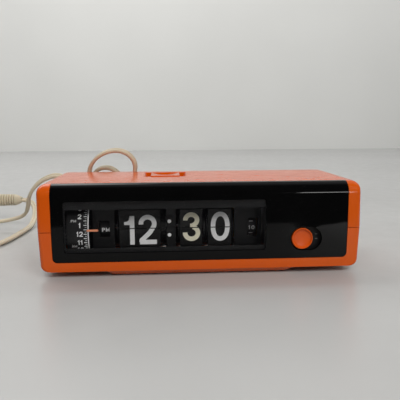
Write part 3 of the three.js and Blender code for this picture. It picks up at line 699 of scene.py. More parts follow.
def case_solid(name, inset, low, high):
    """The case's solid between two heights. The top edge is rounded where high reaches it."""
    top = CASE_TOP - inset
    corner = max(0.8, CORNER - inset)
    levels = [low]
    if low < SEAM_Z:
        radius = max(0.4, BOTTOM_FILLET - inset)
        levels += [low + radius * (1 - math.cos(math.radians(a))) for a in range(12, 91, 13)]
    if low < SEAM_Z < high:
        levels.append(SEAM_Z)
    if high >= top:
        radius = max(0.6, FRONT_FILLET - inset)
        levels += [top - radius + radius * math.sin(math.radians(a)) for a in range(0, 91, 6)]
    else:
        levels.append(high)
    return loft_object(name, [case_ring(z, inset, top, corner) for z in levels])


def panel_row(row, inset):
    """A point (y, z) on the front profile: straight up from below, then round the fillet on to the top."""
    straight_end = CASE_TOP - FRONT_FILLET
    kind, value = row
    if kind == "z":
        return CASE_FRONT + wall_inset(value) + inset, value
    draft = wall_inset(straight_end)
    centre_y = CASE_FRONT + draft + FRONT_FILLET
    if kind == "arc":
        radius = FRONT_FILLET - inset
        a = math.radians(value)
        return centre_y - radius * math.cos(a), straight_end + radius * math.sin(a)
    return value, CASE_TOP - inset


def panel_slab(name, bottom, rear, half, corner, inset, thick):
    """A sheet that follows the front of the case and its top fillet, with rounded lower corners."""
    rows = [("z", bottom + corner * (1 - math.cos(math.radians(a)))) for a in range(0, 91, 15)]
    rows += [("z", SEAM_Z), ("z", 42.0)]
    rows += [("arc", a) for a in range(0, 91, 6)]
    if rear > CASE_FRONT + FRONT_FILLET + 0.3:
        rows.append(("top", rear))
    outside = []
    inside = []
    for row in rows:
        y, z = panel_row(row, inset)
        drop = max(0.0, bottom + corner - z) if row[0] == "z" else 0.0
        reach = half - corner + math.sqrt(max(0.0, corner * corner - drop * drop))
        outside.append((reach, y, z))
        inside.append((reach, *panel_row(row, inset + thick)))
    loop = outside + inside[::-1]
    return loft_object(name, [[(side * reach, y, z) for reach, y, z in loop] for side in (-1, 1)])


def snooze_section(grow, lift):
    return [
        (SNOOZE["left"] - grow, CASE_TOP + lift),
        (SNOOZE["left"] + SNOOZE["slope"] - grow, SNOOZE["floor"] - grow),
        (SNOOZE["right"] - SNOOZE["slope"] + grow, SNOOZE["floor"] - grow),
        (SNOOZE["right"] + grow, CASE_TOP + lift),
    ]


def make_upper_case():
    shell = case_solid("case_upper", 0.0, SEAM_Z + SEAM_GAP / 2, CASE_TOP)
    boolean(shell, case_solid("hollow", WALL, SEAM_Z - 5, CASE_TOP - WALL))
    well = prism("well", snooze_section(1.8, -1.0), SNOOZE["front"] - 1.8, SNOOZE["rear"] + 1.8, "y")
    boolean(shell, well, "UNION")
    pocket = prism("pocket", snooze_section(0.0, 0.2), SNOOZE["front"], SNOOZE["rear"], "y")
    boolean(shell, pocket)
    middle = (SNOOZE["left"] + SNOOZE["right"]) / 2
    boolean(shell, block("stem_hole", middle - 4.4, middle + 4.4, 8.6, 17.4, 50, 56))
    boolean(shell, block("panel_opening", -PANEL_HALF - PANEL_GAP, PANEL_HALF + PANEL_GAP, CASE_FRONT - 2,
                         PANEL_REAR + PANEL_GAP, 0, CASE_TOP + 2))
    holes = [rod("hole", 38, 46, 2.0, (x, 0, KNOB_SHAFT_Z), axis="y", steps=24)
             for x in (TIME_KNOB_X, ALARM_KNOB_X)]
    boolean(shell, joined("holes", *holes))
    finish_piece(bevel(shell, 0.4, 2), ORANGE, "case", "upper_case")


def make_lower_case():
    shell = case_solid("case_lower", 0.0, CASE_BOTTOM, SEAM_Z - SEAM_GAP / 2)
    boolean(shell, case_solid("hollow", WALL, CASE_BOTTOM + WALL, SEAM_Z + 5))
    outline = rounded(-PANEL_HALF - PANEL_GAP, PANEL_HALF + PANEL_GAP, PANEL_BOTTOM - PANEL_GAP, 60, 3.2)
    boolean(shell, prism("panel_opening", outline, CASE_FRONT - 2, PANEL_REAR + PANEL_GAP, "y"))
    vents = [prism("vent", rounded(x, x + 3, 12, 24, 1.45, 5), 36, 46, "y")
             for x in [-40 + 7 * i for i in range(9)]]
    vents.append(rod("gland_hole", 36, 46, 3.8, (GLAND[0], 0, GLAND[1]), axis="y", steps=32))
    boolean(shell, joined("vents", *vents))
    finish_piece(bevel(shell, 0.45, 2), ORANGE, "case", "lower_case")


def panel_tool(outline):
    """A cutting tool that goes right through the front panel."""
    return prism("tool", outline, CASE_FRONT - 2, CASE_FRONT + 6, "y")


def make_front_panel():
    """The black surround and the smoked window, one flush sheet."""
    x0, x1, z0, z1 = WINDOW
    surround = panel_slab("panel_surround", PANEL_BOTTOM, PANEL_REAR, PANEL_HALF, 3.0, 0.0, PANEL_THICK)
    boolean(surround, panel_tool(rounded(x0, x1, z0, z1, 2.0)))
    boolean(surround, panel_tool(rounded(*SLOT, (SLOT[3] - SLOT[2]) / 2 - 0.01, 16)))
    finish_piece(bevel(surround, 0.22, 2, 50), PANEL_BLACK, "case", "front_panel")
    window = panel_slab("panel_window", PANEL_BOTTOM, PANEL_REAR, PANEL_HALF, 3.0, 0.02, PANEL_THICK - 0.5)
    keep = panel_tool(rounded(x0 + 0.02, x1 - 0.02, z0 + 0.02, z1 - 0.02, 2.0))
    boolean(window, keep, "INTERSECT")
    finish_piece(shade(window), WINDOW_GREY, "case", "front_panel")


make_upper_case()
make_lower_case()
make_front_panel()


# ---- plinth, feet and screws
FEET = [(-51, -26), (50, -26), (-51, 26), (50, 26)]


def make_plinth():
    levels = [(0.8, 4.1), (0.95, 3.6), (1.3, 3.1), (3.7, 0.25), (3.9, 0.0)]
    rings = [[(x, y, z) for x, y in rounded(-62.8 + inset, 61.3 - inset, -45.8 + inset, 38 - inset, 4.0)]
             for z, inset in levels]
    tray = loft_object("plinth", rings)
    recesses = [rod("recess", -1, 2.4, 6.4, (x, y, 0), axis="z", steps=36) for x, y in FEET]
    boolean(tray, joined("recesses", *recesses))
    finish_piece(shade(tray, 30), ORANGE, "case", "base_plinth")
    for index, (x, y) in enumerate(FEET):
        profile = [(0, 0), (0, 5.0), (0.35, 5.5), (1.6, 5.85), (2.1, 5.7), (2.1, 0)]
        foot = lathe(f"foot_pad_{index + 1}", profile, (x, y, 0), axis="z", steps=36)
        finish_piece(shade(foot, 40), RUBBER, "case", f"rubber_foot_{index + 1}")


def make_screw(name, x, y, z):
    """A pan-head screw with a cross recess, its head below z and its shank above."""
    shape = [(-2.2, 0), (-2.2, 1.3), (0, 1.3), (0, 2.9), (0.5, 2.9), (1.1, 2.4), (1.5, 1.5), (1.6, 0)]
    head = lathe(name, [(z - t, r) for t, r in shape], (x, y, z), axis="z", steps=28)
    for wide, tall in ((1.7, 0.35), (0.35, 1.7)):
        outline = rounded(x - wide, x + wide, y - tall, y + tall, 0.15, 2)
        boolean(head, prism("slot", outline, z - 2.2, z - 0.8))
    finish_piece(shade(head, 40), SPRING_STEEL, "case")


make_plinth()
for index, (x, y) in enumerate([(-86, -34), (86, -34), (-86, 32), (86, 32)]):
    make_screw(f"case_screw_{index + 1}", x, y, CASE_BOTTOM - 0.05)
for index, x in enumerate((-6, 6)):
    make_screw(f"plinth_screw_{index + 1}", x, 0.0, 0.75 + 1.7)


# ---- gears
LAY_Y = -13.35
LAY_Z = 37.5
LAY_ANGLE = math.degrees(math.atan2(LAY_Z - AXIS_Z, LAY_Y - AXIS_Y))


def gear_object(name, teeth, module, x0, x1, y, z, first_tooth, bore):
    """A spur gear along X with rounded-off teeth, one of them pointing along the given angle."""
    tip = teeth * module / 2 + 0.75 * module
    root = teeth * module / 2 - module
    middle = teeth * module / 2
    tooth = [(root, -0.27), (middle, -0.2), (tip, -0.1), (tip, 0.1), (middle, 0.2), (root, 0.27)]
    gear = prism(name, toothed(y, z, teeth, tooth, first_tooth), x0, x1, "x")
    hole = rod("hole", x0 - 1, x1 + 1, bore, (0, y, z), steps=24)
    return boolean(gear, hole)


# ---- printed figures
def ellipse(cx, cy, rx, ry, start, end, steps=18, power=1.0):
    """Points on an ellipse, squarer where power is under 1."""
    points = []
    for i in range(steps + 1):
        a = math.radians(start + (end - start) * i / steps)
        c, s = math.cos(a), math.sin(a)
        points.append((cx + rx * math.copysign(abs(c) ** power, c),
                       cy + ry * math.copysign(abs(s) ** power, s)))
    return points


def glyph(letter, width, stroke):
    """A figure one unit tall, as centre lines for the stroke and ready outlines."""
    w, s = width, stroke
    h = s / 2
    mid = w / 2
    lines = []
    areas = []
    if letter == "0":
        lines.append(ellipse(mid, 0.5, mid - h, 0.5 - h, 0, 360, 40, 0.9))
    elif letter == "1":
        lines.append([(w - h, 0), (w - h, 1)])
        flag = [(0, 0.69), (0, 0.79), (0.08, 0.80), (0.15, 0.84), (0.20, 0.90), (0.24, 1.0), (w - s, 1.0),
                (w - s, 0.69)]
        areas.append(flag)
    elif letter == "2":
        bowl = ellipse(mid, 0.70, mid - h, 0.30 - h, 186, -28, 24)
        lines.append([*bowl, (w * 0.62, 0.40), (w * 0.36, 0.25), (h + 0.02, s * 0.95), (h + 0.01, s * 0.5)])
        lines.append([(h * 0.4, h), (w, h)])
    elif letter == "3":
        lines.append(ellipse(mid - 0.01, 0.735, mid - h - 0.02, 0.265 - h, 184, -72, 26))
        lines.append(ellipse(mid, 0.285, mid - h, 0.285 - h, 78, -184, 26))
        lines.append([(w * 0.42, 0.535), (w * 0.68, 0.535)])
    elif letter == "4":
        lines.append([(w * 0.74, 0), (w * 0.74, 1)])
        lines.append([(w * 0.70, 0.97), (h, 0.30), (w, 0.27)])
    elif letter == "5":
        lines.append([(w - h * 0.5, 1 - h), (0.13, 1 - h), (0.09, 0.50)])
        lines.append([(0.09, 0.52), *ellipse(mid, 0.32, mid - h, 0.32 - h, 130, -172, 22)])
    elif letter == "6":
        lines.append(ellipse(mid, 0.31, mid - h, 0.31 - h, 0, 360, 30))
        lines.append([(h, 0.34), *ellipse(mid + 0.02, 0.60, mid - h, 0.40 - h, 178, 30, 18)])
    elif letter == "7":
        lines.append([(0, 1 - h), (w - h * 0.6, 1 - h), (w * 0.52, 0.45), (w * 0.40, 0)])
    elif letter == "8":
        lines.append(ellipse(mid, 0.745, mid - h - 0.03, 0.255 - h, 0, 360, 28))
        lines.append(ellipse(mid, 0.28, mid - h, 0.28 - h, 0, 360, 28))
    elif letter == "9":
        lines.append(ellipse(mid, 0.69, mid - h, 0.31 - h, 0, 360, 30))
        lines.append([(w - h, 0.66), *ellipse(mid - 0.02, 0.40, mid - h, 0.40 - h, -2, -150, 18)])
    elif letter == "P":
        lines.append([(h, 0), (h, 1)])
        bowl = ellipse(w * 0.55, 0.70, w * 0.45 - h, 0.30 - h, 88, -88, 10)
        lines.append([(h, 1 - h), (w * 0.55, 1 - h), *bowl, (h, 0.40 + h)])
    elif letter == "A":
        lines.append([(h * 0.6, 0), (mid, 1 - h * 0.3), (w - h * 0.6, 0)])
        lines.append([(w * 0.22, 0.30), (w * 0.78, 0.30)])
    elif letter == "M":
        lines.append([(h, 0), (h, 1 - h), (mid, 0.25), (w - h, 1 - h), (w - h, 0)])
    return lines, areas


def resampled(line, step):
    """The line with extra points, so that no piece of it is longer than step."""
    points = [line[0]]
    for a, b in zip(line, line[1:]):
        count = max(1, math.ceil(math.dist(a, b) / step))
        points += [(a[0] + (b[0] - a[0]) * i / count, a[1] + (b[1] - a[1]) * i / count)
                   for i in range(1, count + 1)]
    return points


def stroked(line, width):
    """Quads along a centre line, with mitred joins."""
    count = len(line)
    closed = math.dist(line[0], line[-1]) < 1e-6
    sides = []
    for i, (x, y) in enumerate(line):
        before = line[i - 1] if i else (line[-2] if closed else None)
        after = line[i + 1] if i < count - 1 else (line[1] if closed else None)
        ways = []
        for a, b in ((before, (x, y)), ((x, y), after)):
            if a and b:
                length = math.dist(a, b)
                ways.append(((b[0] - a[0]) / length, (b[1] - a[1]) / length))
        tx = sum(way[0] for way in ways)
        ty = sum(way[1] for way in ways)
        size = math.hypot(tx, ty)
        nx, ny = -ty / size, tx / size
        reach = width / 2 / max(0.45, nx * -ways[0][1] + ny * ways[0][0])
        sides.append(((x + nx * reach, y + ny * reach), (x - nx * reach, y - ny * reach)))
    return [[sides[i][0], sides[i][1], sides[i + 1][1], sides[i + 1][0]] for i in range(count - 1)]


def clipped(outline, level, keep_above):
    """The part of an outline above or below a level."""
    sign = 1 if keep_above else -1
    result = []
    for a, b in zip(outline, outline[1:] + outline[:1]):
        side_a = sign * (a[1] - level)
        side_b = sign * (b[1] - level)
        if side_a >= 0:
            result.append(a)
        if side_a * side_b < 0:
            t = side_a / (side_a - side_b)
            result.append((a[0] + (b[0] - a[0]) * t, level))
    return result if len(result) > 2 else None


def bar_print(x0, x1, low, high):
    """A printed bar, as a group of one outline."""
    return [[(x0, low), (x1, low), (x1, high), (x0, high)]]


def cut_groups(groups, level, keep_above):
    """What is left of each group of outlines above or below a level."""
    cut = [[clipped(outline, level, keep_above) for outline in group] for group in groups]
    cut = [[outline for outline in group if outline] for group in cut]
    return [group for group in cut if group]


def figure(letter, x0, x1, low, high, stroke, step=40.0):
    """The outlines of one figure that fills a box, each stroke one list of pieces no longer than step."""
    tall = high - low
    lines, areas = glyph(letter, (x1 - x0) / tall, stroke / tall)
    groups = [stroked(resampled(line, step / tall), stroke / tall) for line in lines]
    groups += [[area] for area in areas]
    return [[[(x0 + a * tall, low + b * tall) for a, b in quad] for quad in group] for group in groups]


LAYER_RISE = 0.004


def print_object(name, groups, place, thick=0.06):
    """Thin print from groups of outlines. place(a, b, lift) gives a point in millimetres.
    Each group stands LAYER_RISE above the one before, so that strokes which cross share no face."""
    verts = []
    faces = []
    for layer, group in enumerate(groups):
        index = {}
        flat = []
        for outline in group:
            face = []
            for a, b in outline:
                key = (round(a, 4), round(b, 4))
                if key not in index:
                    index[key] = len(index)
                if index[key] not in face:
                    face.append(index[key])
            if len(face) > 2:
                flat.append(face)
        start = len(verts)
        size = len(index)
        verts += [place(a, b, thick + LAYER_RISE * layer) for a, b in index]
        verts += [place(a, b, 0.0) for a, b in index]
        edges = {}
        for face in flat:
            faces.append([start + i for i in face])
            faces.append([start + size + i for i in reversed(face)])
            for a, b in zip(face, face[1:] + face[:1]):
                edges[(a, b)] = True
        for a, b in edges:
            if (b, a) not in edges:
                faces.append([start + a, start + b, start + size + b, start + size + a])
    return mesh_object(name, verts, faces)


def on_flap(front_y):
    return lambda a, b, lift: (a, front_y - lift, b)


def on_drum(radius):
    """Wraps print round a drum on the main axis. b is the distance up from the drum's front line."""
    def place(a, b, lift):
        turn = b / radius
        r = radius + lift
        return a, AXIS_Y - r * math.cos(turn), AXIS_Z + r * math.sin(turn)
    return place


# ---- flaps
UPPER_FRONT = -31.4
LOWER_FRONT = -31.0
UPPER_BOTTOM = 28.75
LOWER_TOP = 28.05
FLAP_THICK = 0.6
FIGURES = {
    "hour": [("1", -50.3, -43.6, 17.5, 36.9), ("2", -40.8, -29.0, 17.6, 37.5)],
    "tens": [("3", -11.7, -0.1, 19.2, 38.7)],
    "ones": [("0", 6.9, 19.6, 19.0, 38.8)],
}
BACK_FIGURES = {"hour": "1", "tens": "4", "ones": "1"}
INK = {"hour": PRINT_WHITE, "tens": PRINT_CREAM, "ones": PRINT_WHITE}
STROKE = 3.05


def flap_plate(name, x0, x1, front, low, high, ears_at):
    """A thin flap with rounded free corners and a narrow hinge ear on each side at its hinge edge."""
    outline = rounded(x0, x1, low, high, 0.7, 4)
    plate = prism(name, outline, front, front + FLAP_THICK, "y")
    for x in (x0 - 0.35, x1 - 0.15):
        ear = block("ear", x, x + 0.5, front + 0.05, front + FLAP_THICK - 0.05, ears_at - 0.4, ears_at + 0.4)
        boolean(plate, ear, "UNION")
    return bevel(plate, 0.08, 1)


def make_flaps(drum):
    x0, x1 = FLAPS[drum]
    wheel = f"{drum}_wheel"
    leaf = f"{drum}_leaf"
    upper = flap_plate(f"{drum}_upper_leaf", x0, x1, UPPER_FRONT, 28.7, 40.7, 29.2)
    finish_piece(upper, FLAP_BLACK, leaf, f"{drum}_flap_upper")
    lower = flap_plate(f"{drum}_lower_leaf", x0, x1, LOWER_FRONT, 16.1, 28.1, 27.6)
    finish_piece(lower, FLAP_BLACK, wheel, f"{drum}_flap_lower")
    groups = [group for entry in FIGURES[drum] for group in figure(*entry, STROKE)]
    halves = (("upper", True, UPPER_BOTTOM, UPPER_FRONT, leaf),
              ("lower", False, LOWER_TOP, LOWER_FRONT, wheel))
    for half, above, level, front, body in halves:
        ink = print_object(f"{drum}_figures_{half}", cut_groups(groups, level, above), on_flap(front))
        finish_piece(ink, INK[drum], body)
    make_flap_back(drum, x0, x1, leaf)


def make_flap_back(drum, x0, x1, leaf):
    """The lower half of the next figure, on the back of the upper flap, which shows once it has fallen."""
    middle = (x0 + x1) / 2
    groups = figure(BACK_FIGURES[drum], middle - 5.5, middle + 5.5, 18.5, 39.0, STROKE)
    turned = [[[(a, 2 * FLAP_SPLIT - b) for a, b in outline] for outline in group]
              for group in cut_groups(groups, LOWER_TOP, False)]
    back = UPPER_FRONT + FLAP_THICK
    ink = print_object(f"{drum}_figures_back", turned, lambda a, b, lift: (a, back + lift, b))
    finish_piece(ink, INK[drum], leaf)


for drum_name in FLAPS:
    make_flaps(drum_name)


# ---- the fans of waiting flaps and the spools
def make_fan(drum):
    """The waiting flaps, each hinged at the spool's rim and leaning back on the next."""
    x0, x1 = FLAPS[drum]
    leaves = []
    count = 17
    for i in range(count):
        turn = math.radians(-120 + 250 * i / (count - 1))
        leaf = block("leaf", x0 + 0.4, x1 - 0.4, -0.2, 0.2, 5.4, 15.3)
        place = Matrix.Translation(Vector(MAIN_AXIS) * MM)
        leaf.data.transform(place @ Matrix.Rotation(turn - math.pi / 2, 4, "X"))
        leaves.append(leaf)
    ring = lathe("sleeve", [(x0 + 0.4, 4.8), (x0 + 0.4, 5.8), (x1 - 0.4, 5.8), (x1 - 0.4, 4.8)],
                 MAIN_AXIS, steps=32)
    fan = joined(f"{drum}_waiting_flaps", ring, *leaves)
    finish_piece(shade(fan), FLAP_BLACK, f"{drum}_wheel", f"{drum}_flap_pack")


COMB_WIDTH = {"hour": 3.2, "tens": 1.6, "ones": 0.8}


def make_spool(drum):
    x0, x1 = FLAPS[drum]
    left = x0 - 1.3
    right = x1 + 0.5 + COMB_WIDTH[drum]
    notch = 10.9 - 0.9
    comb = toothed(AXIS_Y, AXIS_Z, 40, [(notch, -0.34), (10.9, -0.26), (10.9, 0.26), (notch, 0.34)])
    discs = [prism("disc", comb, a, b, "x") for a, b in ((left, left + 0.8), (x1 + 0.5, right))]
    spool = discs[0]
    boolean(spool, discs[1], "UNION")
    hub = rod("hub", left + 0.1, right - 0.1, 4.5, MAIN_AXIS, steps=32)
    boolean(spool, hub, "UNION")
    bore = rod("bore", left - 1, right + 1, 1.75, MAIN_AXIS, steps=24)
    boolean(spool, bore)
    finish_piece(shade(spool), DRUM_BLACK, f"{drum}_wheel", f"{drum}_drum")


for drum_name in FLAPS:
    make_fan(drum_name)
    make_spool(drum_name)


# ---- mask, colon and window border
MASK_LEFT = -70.9
MASK_RIGHT = 40.6
MASK_FRONT = -31.7
MASK_BACK = -30.9
OPENINGS = [(-66.3, -59.8, 23.3, 34.0), (-56.4, -22.6, 15.4, 41.4), (-16.4, 22.6, 15.4, 41.4),
            (31.5, 38.3, 22.1, 34.3)]
SMALL_DRUM_RADIUS = 8.2


def make_mask():
    mask = block("mask", MASK_LEFT, MASK_RIGHT, MASK_FRONT, MASK_BACK, 8, 54)
    for x0, x1, z0, z1 in OPENINGS:
        tool = prism("tool", rounded(x0, x1, z0, z1, 0.8, 5), MASK_FRONT - 1, MASK_BACK + 1, "y")
        boolean(mask, tool)
    shelf = block("shelf", MASK_LEFT, MASK_RIGHT, -43, MASK_FRONT + 0.2, 8, 8.8)
    boolean(mask, shelf, "UNION")
    bevel(mask, 0.15, 2)
    finish_piece(mask, MASK_BLACK, "case", "mask_plate")
    outline = rounded(-22.1, -16.9, 14.8, 42.4, 0.5, 4)
    bar = prism("colon_bar", outline, MASK_FRONT - 0.35, MASK_FRONT - 0.02, "y")
    finish_piece(bevel(bar, 0.1, 2), RAIL_GREY, "case")
    button = [(MASK_FRONT - y, radius) for y, radius in ((0.47, 0), (0.45, 1.15), (0.34, 1.25), (0.34, 0))]
    dots = [lathe("dot", button, (-20.6, 0, z), "y", 28) for z in (33.0, 23.9)]
    finish_piece(shade(joined("colon_dots", *dots)), PRINT_WHITE, "case")


def make_window_border():
    """The dark border printed behind the window, with the clear part inside it."""
    x0, x1, z0, z1 = WINDOW
    outline = rounded(x0 - 0.6, x1 + 0.6, z0 - 0.6, z1 + 0.6, 2.6, 6)
    border = prism("window_border", outline, -44.35, -44.1, "y")
    clear = prism("clear", rounded(x0 + 1.0, x1 - 0.8, z0 + 2.9, z1 - 5.4, 0.8, 4), -45, -43, "y")
    boolean(border, clear)
    finish_piece(border, RAIL_GREY, "case")


# ---- printed drums
def drum_print(name, letters, radius, ink, body, stroke):
    """Figures round a drum, each entry a letter, its place along X and round the drum, and its size."""
    groups = [group for entry in letters for group in figure(*entry, stroke, step=0.5)]
    finish_piece(print_object(name, groups, on_drum(radius), thick=0.05), ink, body)


def rim_drum(name, x0, x1, radius, wall, hub, web):
    """A turned drum with a rounded rim, one web and a bored hub."""
    inside = radius - wall
    profile = [(x0, inside), (x0, radius - 0.2), (x0 + 0.2, radius), (x1 - 0.2, radius), (x1, radius - 0.2),
               (x1, inside), (web + 1.2, inside), (web + 1.2, hub), (x1, hub), (x1, 1.75), (x0, 1.75),
               (x0, hub), (web, hub), (web, inside)]
    return lathe(name, profile, MAIN_AXIS, steps=96)


def make_am_pm():
    drum = rim_drum("am_pm_wheel", -66.4, -59.6, SMALL_DRUM_RADIUS, 1.2, 3, -64)
    finish_piece(shade(drum), DRUM_BLACK, "hour_wheel", "am_pm_drum")
    letters = []
    half_turn = math.pi * SMALL_DRUM_RADIUS
    for middle, first in ((-0.9, "P"), (-0.9 + half_turn, "A")):
        letters.append((first, -65.1, -63.0, middle - 1.35, middle + 1.35))
        letters.append(("M", -62.6, -59.9, middle - 1.35, middle + 1.35))
    drum_print("am_pm_letters", letters, SMALL_DRUM_RADIUS, PRINT_WHITE, "hour_wheel", 0.62)


def make_seconds():
    """The seconds drum, printed with a figure every ten seconds and a dash between."""
    drum = rim_drum("seconds_rim", 30.5, 37.7, SMALL_DRUM_RADIUS, 1.2, 3, 33)
    pinion = gear_object("pinion", 8, 0.595, 27.3, 30.7, AXIS_Y, AXIS_Z, LAY_ANGLE, 1.6)
    boolean(drum, pinion, "UNION")
    finish_piece(shade(drum), DRUM_BLACK, "seconds_wheel", "seconds_drum")
    groups = []
    around = 2 * math.pi * SMALL_DRUM_RADIUS
    for tens in range(6):
        middle = -1.0 + around * tens / 6
        first_right = 33.6 if tens == 0 else 34.2
        for letter, left, right in ((str((tens + 1) % 6), 32.5, first_right), ("0", 34.6, 36.7)):
            groups += figure(letter, left, right, middle - 1.4, middle + 1.4, 0.55, step=0.5)
        dash = middle + around / 12
        groups.append(bar_print(33.0, 35.6, dash - 0.25, dash + 0.25))
    ink = print_object("seconds_figures", groups, on_drum(SMALL_DRUM_RADIUS), thick=0.05)
    finish_piece(ink, PRINT_GREY, "seconds_wheel")


# ---- alarm dial
DIAL_RADIUS = 21.5
DIAL_LEFT = -86.0
DIAL_RIGHT = -71.6


def make_alarm_dial():
    dial = rim_drum("alarm_dial_drum", DIAL_LEFT, DIAL_RIGHT, DIAL_RADIUS, 1.4, 4, -80)
    wheel = gear_object("wheel", 26, 0.9, -91.2, -88.2, AXIS_Y, AXIS_Z, 0, 1.8)
    hub = lathe("hub", [(-88.4, 1.75), (-88.4, 4), (-85.9, 4), (-85.9, 1.75)], MAIN_AXIS, steps=48)
    boolean(dial, hub, "UNION")
    boolean(dial, wheel, "UNION")
    finish_piece(shade(dial), DRUM_BLACK, "alarm_wheel", "alarm_dial")
    around = 2 * math.pi * DIAL_RADIUS
    hour_step = around / 24
    half_past = 2.05
    lines = []
    for quarter in range(96):
        b = half_past + quarter * hour_step / 4
        left, half = (-75.0, 0.2) if quarter % 2 == 0 else (-74.2, 0.09)
        lines.append(bar_print(left, -73.1, b - half, b + half))
    sides = 120
    lines += [bar_print(-72.4, -71.85, around * i / sides, around * (i + 1) / sides) for i in range(sides)]
    ring = print_object("alarm_dial_ring", lines, on_drum(DIAL_RADIUS), thick=0.04)
    finish_piece(ring, PRINT_WHITE, "alarm_wheel")
    letters = []
    small = []
    for hour in range(24):
        middle = half_past - hour_step / 2 + hour * hour_step
        figures = str((hour + 11) % 12 + 1)
        widths = [1.15 if letter == "1" else 2.3 for letter in figures]
        left = -77.6 - (sum(widths) + 0.6 * (len(figures) - 1)) / 2
        for letter, width in zip(figures, widths):
            letters.append((letter, left, left + width, middle - 1.65, middle + 1.65))
            left += width + 0.6
        half_day = "P" if hour < 12 else "A"
        if hour % 2 == (1 if hour < 12 else 0):
            up = middle + hour_step / 2
            small.append((half_day, -83.0, -81.7, up - 0.8, up + 0.8))
            small.append(("M", -81.4, -79.7, up - 0.8, up + 0.8))
    drum_print("alarm_dial_hours", letters, DIAL_RADIUS, PRINT_WHITE, "alarm_wheel", 0.62)
    drum_print("alarm_dial_halves", small, DIAL_RADIUS, PRINT_GREY, "alarm_wheel", 0.34)


def make_pointer():
    """The alarm pointer: a bar across the front of the dial, on a leg that slopes up from the mask."""
    bar = prism("alarm_pointer_bar", rounded(-73.0, -65.8, 29.4, 30.6, 0.5, 5), -43.4, -42.8, "y")
    slope = [(-43.2, 29.5), (MASK_FRONT, 26.9), (MASK_FRONT, 27.9), (-43.2, 30.5)]
    pointer = boolean(bar, prism("leg", slope, -68.2, -67.0, "x"), "UNION")
    finish_piece(bevel(pointer, 0.2, 2), ORANGE_POINTER, "case", "alarm_pointer")


def make_painted_shade_card():
    """A black card behind the drums, painted shade that keeps the inside of the case past the drums dark,
    with a hole for the setting shaft.
    """
    # painted shade: this black card stands in for the shade inside the case behind the drums
    card = prism("painted_shade_card", rounded(-69.5, 40.8, 8, 53, 2, 4), 4.4, 4.9, "y")
    hole = rod("hole", 3, 6, 1.9, (TIME_KNOB_X, 0, KNOB_SHAFT_Z), "y", 24)
    boolean(card, hole)
    finish_piece(bevel(card, 0.1, 1), MASK_BLACK, "case")


def make_finger():
    """The sprung strip that holds back the top edges of the upper flaps."""
    strip = block("strip", -56, 22, -30.6, -30.1, 43.8, 47)
    for x0, x1 in FLAPS.values():
        middle = (x0 + x1) / 2
        boolean(strip, block("tab", middle - 3, middle + 3, -30.6, -30.1, 42.3, 44), "UNION")
    finish_piece(bevel(strip, 0.1, 1), SPRING_STEEL, "case", "flap_finger")


make_mask()
make_window_border()
make_am_pm()
make_seconds()
make_alarm_dial()
make_pointer()
# the black card made next is painted shade behind the drums
make_painted_shade_card()
make_finger()


# ---- alarm slide
def make_alarm_slide():
    """The dished knob, its slider behind the panel, the plate round it, and two marks on the plate."""
    face = -46.6
    dish = [(1.9, 0), (1.8, 2.2), (1.55, 4.2), (1.3, 5.4), (1.05, 5.85)]
    rim = [(0.3, 6.1), (0.05, 6.25), (0, 6.45), (0.1, 6.7), (0.4, 6.88), (0.8, 6.9)]
    back = [(4.2, 6.9), (4.4, 6.7), (4.4, 0)]
    profile = [(face + depth, radius) for depth, radius in dish + rim + back]
    knob = lathe("alarm_switch_knob", profile, (KNOB_X, 0, KNOB_Z), "y", 72)
    stem = block("stem", KNOB_X - 2, KNOB_X + 2, face + 4.2, face + 7.2, KNOB_Z - 2, KNOB_Z + 2)
    boolean(knob, stem, "UNION")
    finish_piece(shade(knob, 50), ORANGE_KNOB, "alarm_switch", "alarm_knob")
    slider = prism("slider", rounded(58, 72, KNOB_Z - 4, KNOB_Z + 4, 1.2, 5), -39.2, -36.8, "y")
    for x in (60.5, 69.5):
        boolean(slider, rod("hole", -40, -36, 0.9, (x, 0, KNOB_Z), "y", 20))
    finish_piece(bevel(slider, 0.2, 2), STEEL, "alarm_switch", "alarm_slider")
    plate = prism("escutcheon", rounded(54, 81, 11, 36, 1.5, 5), -41.8, -40.6, "y")
    slit = prism("slit", rounded(KNOB_X - 2.4, KNOB_X + 8, KNOB_Z - 2.4, KNOB_Z + 2.4, 0.6, 4), -43, -40, "y")
    boolean(plate, slit)
    finish_piece(bevel(plate, 0.12, 2), MASK_BLACK, "case", "slide_escutcheon")
    marks = [bar_print(74.6, 76.2, low, low + 0.35) for low in (24.6, 21.6)]
    ink = print_object("slide_marks", marks, lambda a, b, lift: (a, -41.8 - lift, b), thick=0.05)
    finish_piece(ink, PRINT_DIM, "case")


# ---- snooze bar
def make_snooze():
    """A dished bar with a low lip along its front, on a stem that presses a leaf spring."""
    middle = (SNOOZE["left"] + SNOOZE["right"]) / 2
    front = SNOOZE["front"] + 0.6
    half = 10.4
    dish = 1.2
    steps = 14
    shares = [1 - 2 * i / steps for i in range(steps + 1)]
    top = [(middle + half * t, CASE_TOP - dish * (1 - t * t)) for t in shares]
    section = [(middle - half, 57.8), (middle + half, 57.8), *top]
    bar = prism("snooze_key", section, front, SNOOZE["rear"] - 0.6, "y")
    boolean(bar, block("stem", middle - 4, middle + 4, 9, 17, 51, 58), "UNION")
    reach = half - 0.2
    lip = block("lip", middle - reach, middle + reach, front + 0.05, front + 1.6, 58.2, CASE_TOP + 0.55)
    boolean(bar, lip, "UNION")
    finish_piece(bevel(bar, 0.3, 3, angle=40), ORANGE, "snooze", "snooze_bar")
    left = -36.0
    outer = [(left, 53.4), (left, 47.6), (left + 0.6, 47)]
    inner = [(left + 0.6, 53.4), (left + 0.6, 47.9), (left + 0.9, 47.6)]
    strip = outer + [(2 * middle - x, z) for x, z in [*outer[::-1], *inner]] + inner[::-1]
    spring = prism("snooze_leaf_spring", strip, 10, 16, "y")
    finish_piece(bevel(spring, 0.08, 1), SPRING_STEEL, "case", "snooze_spring")


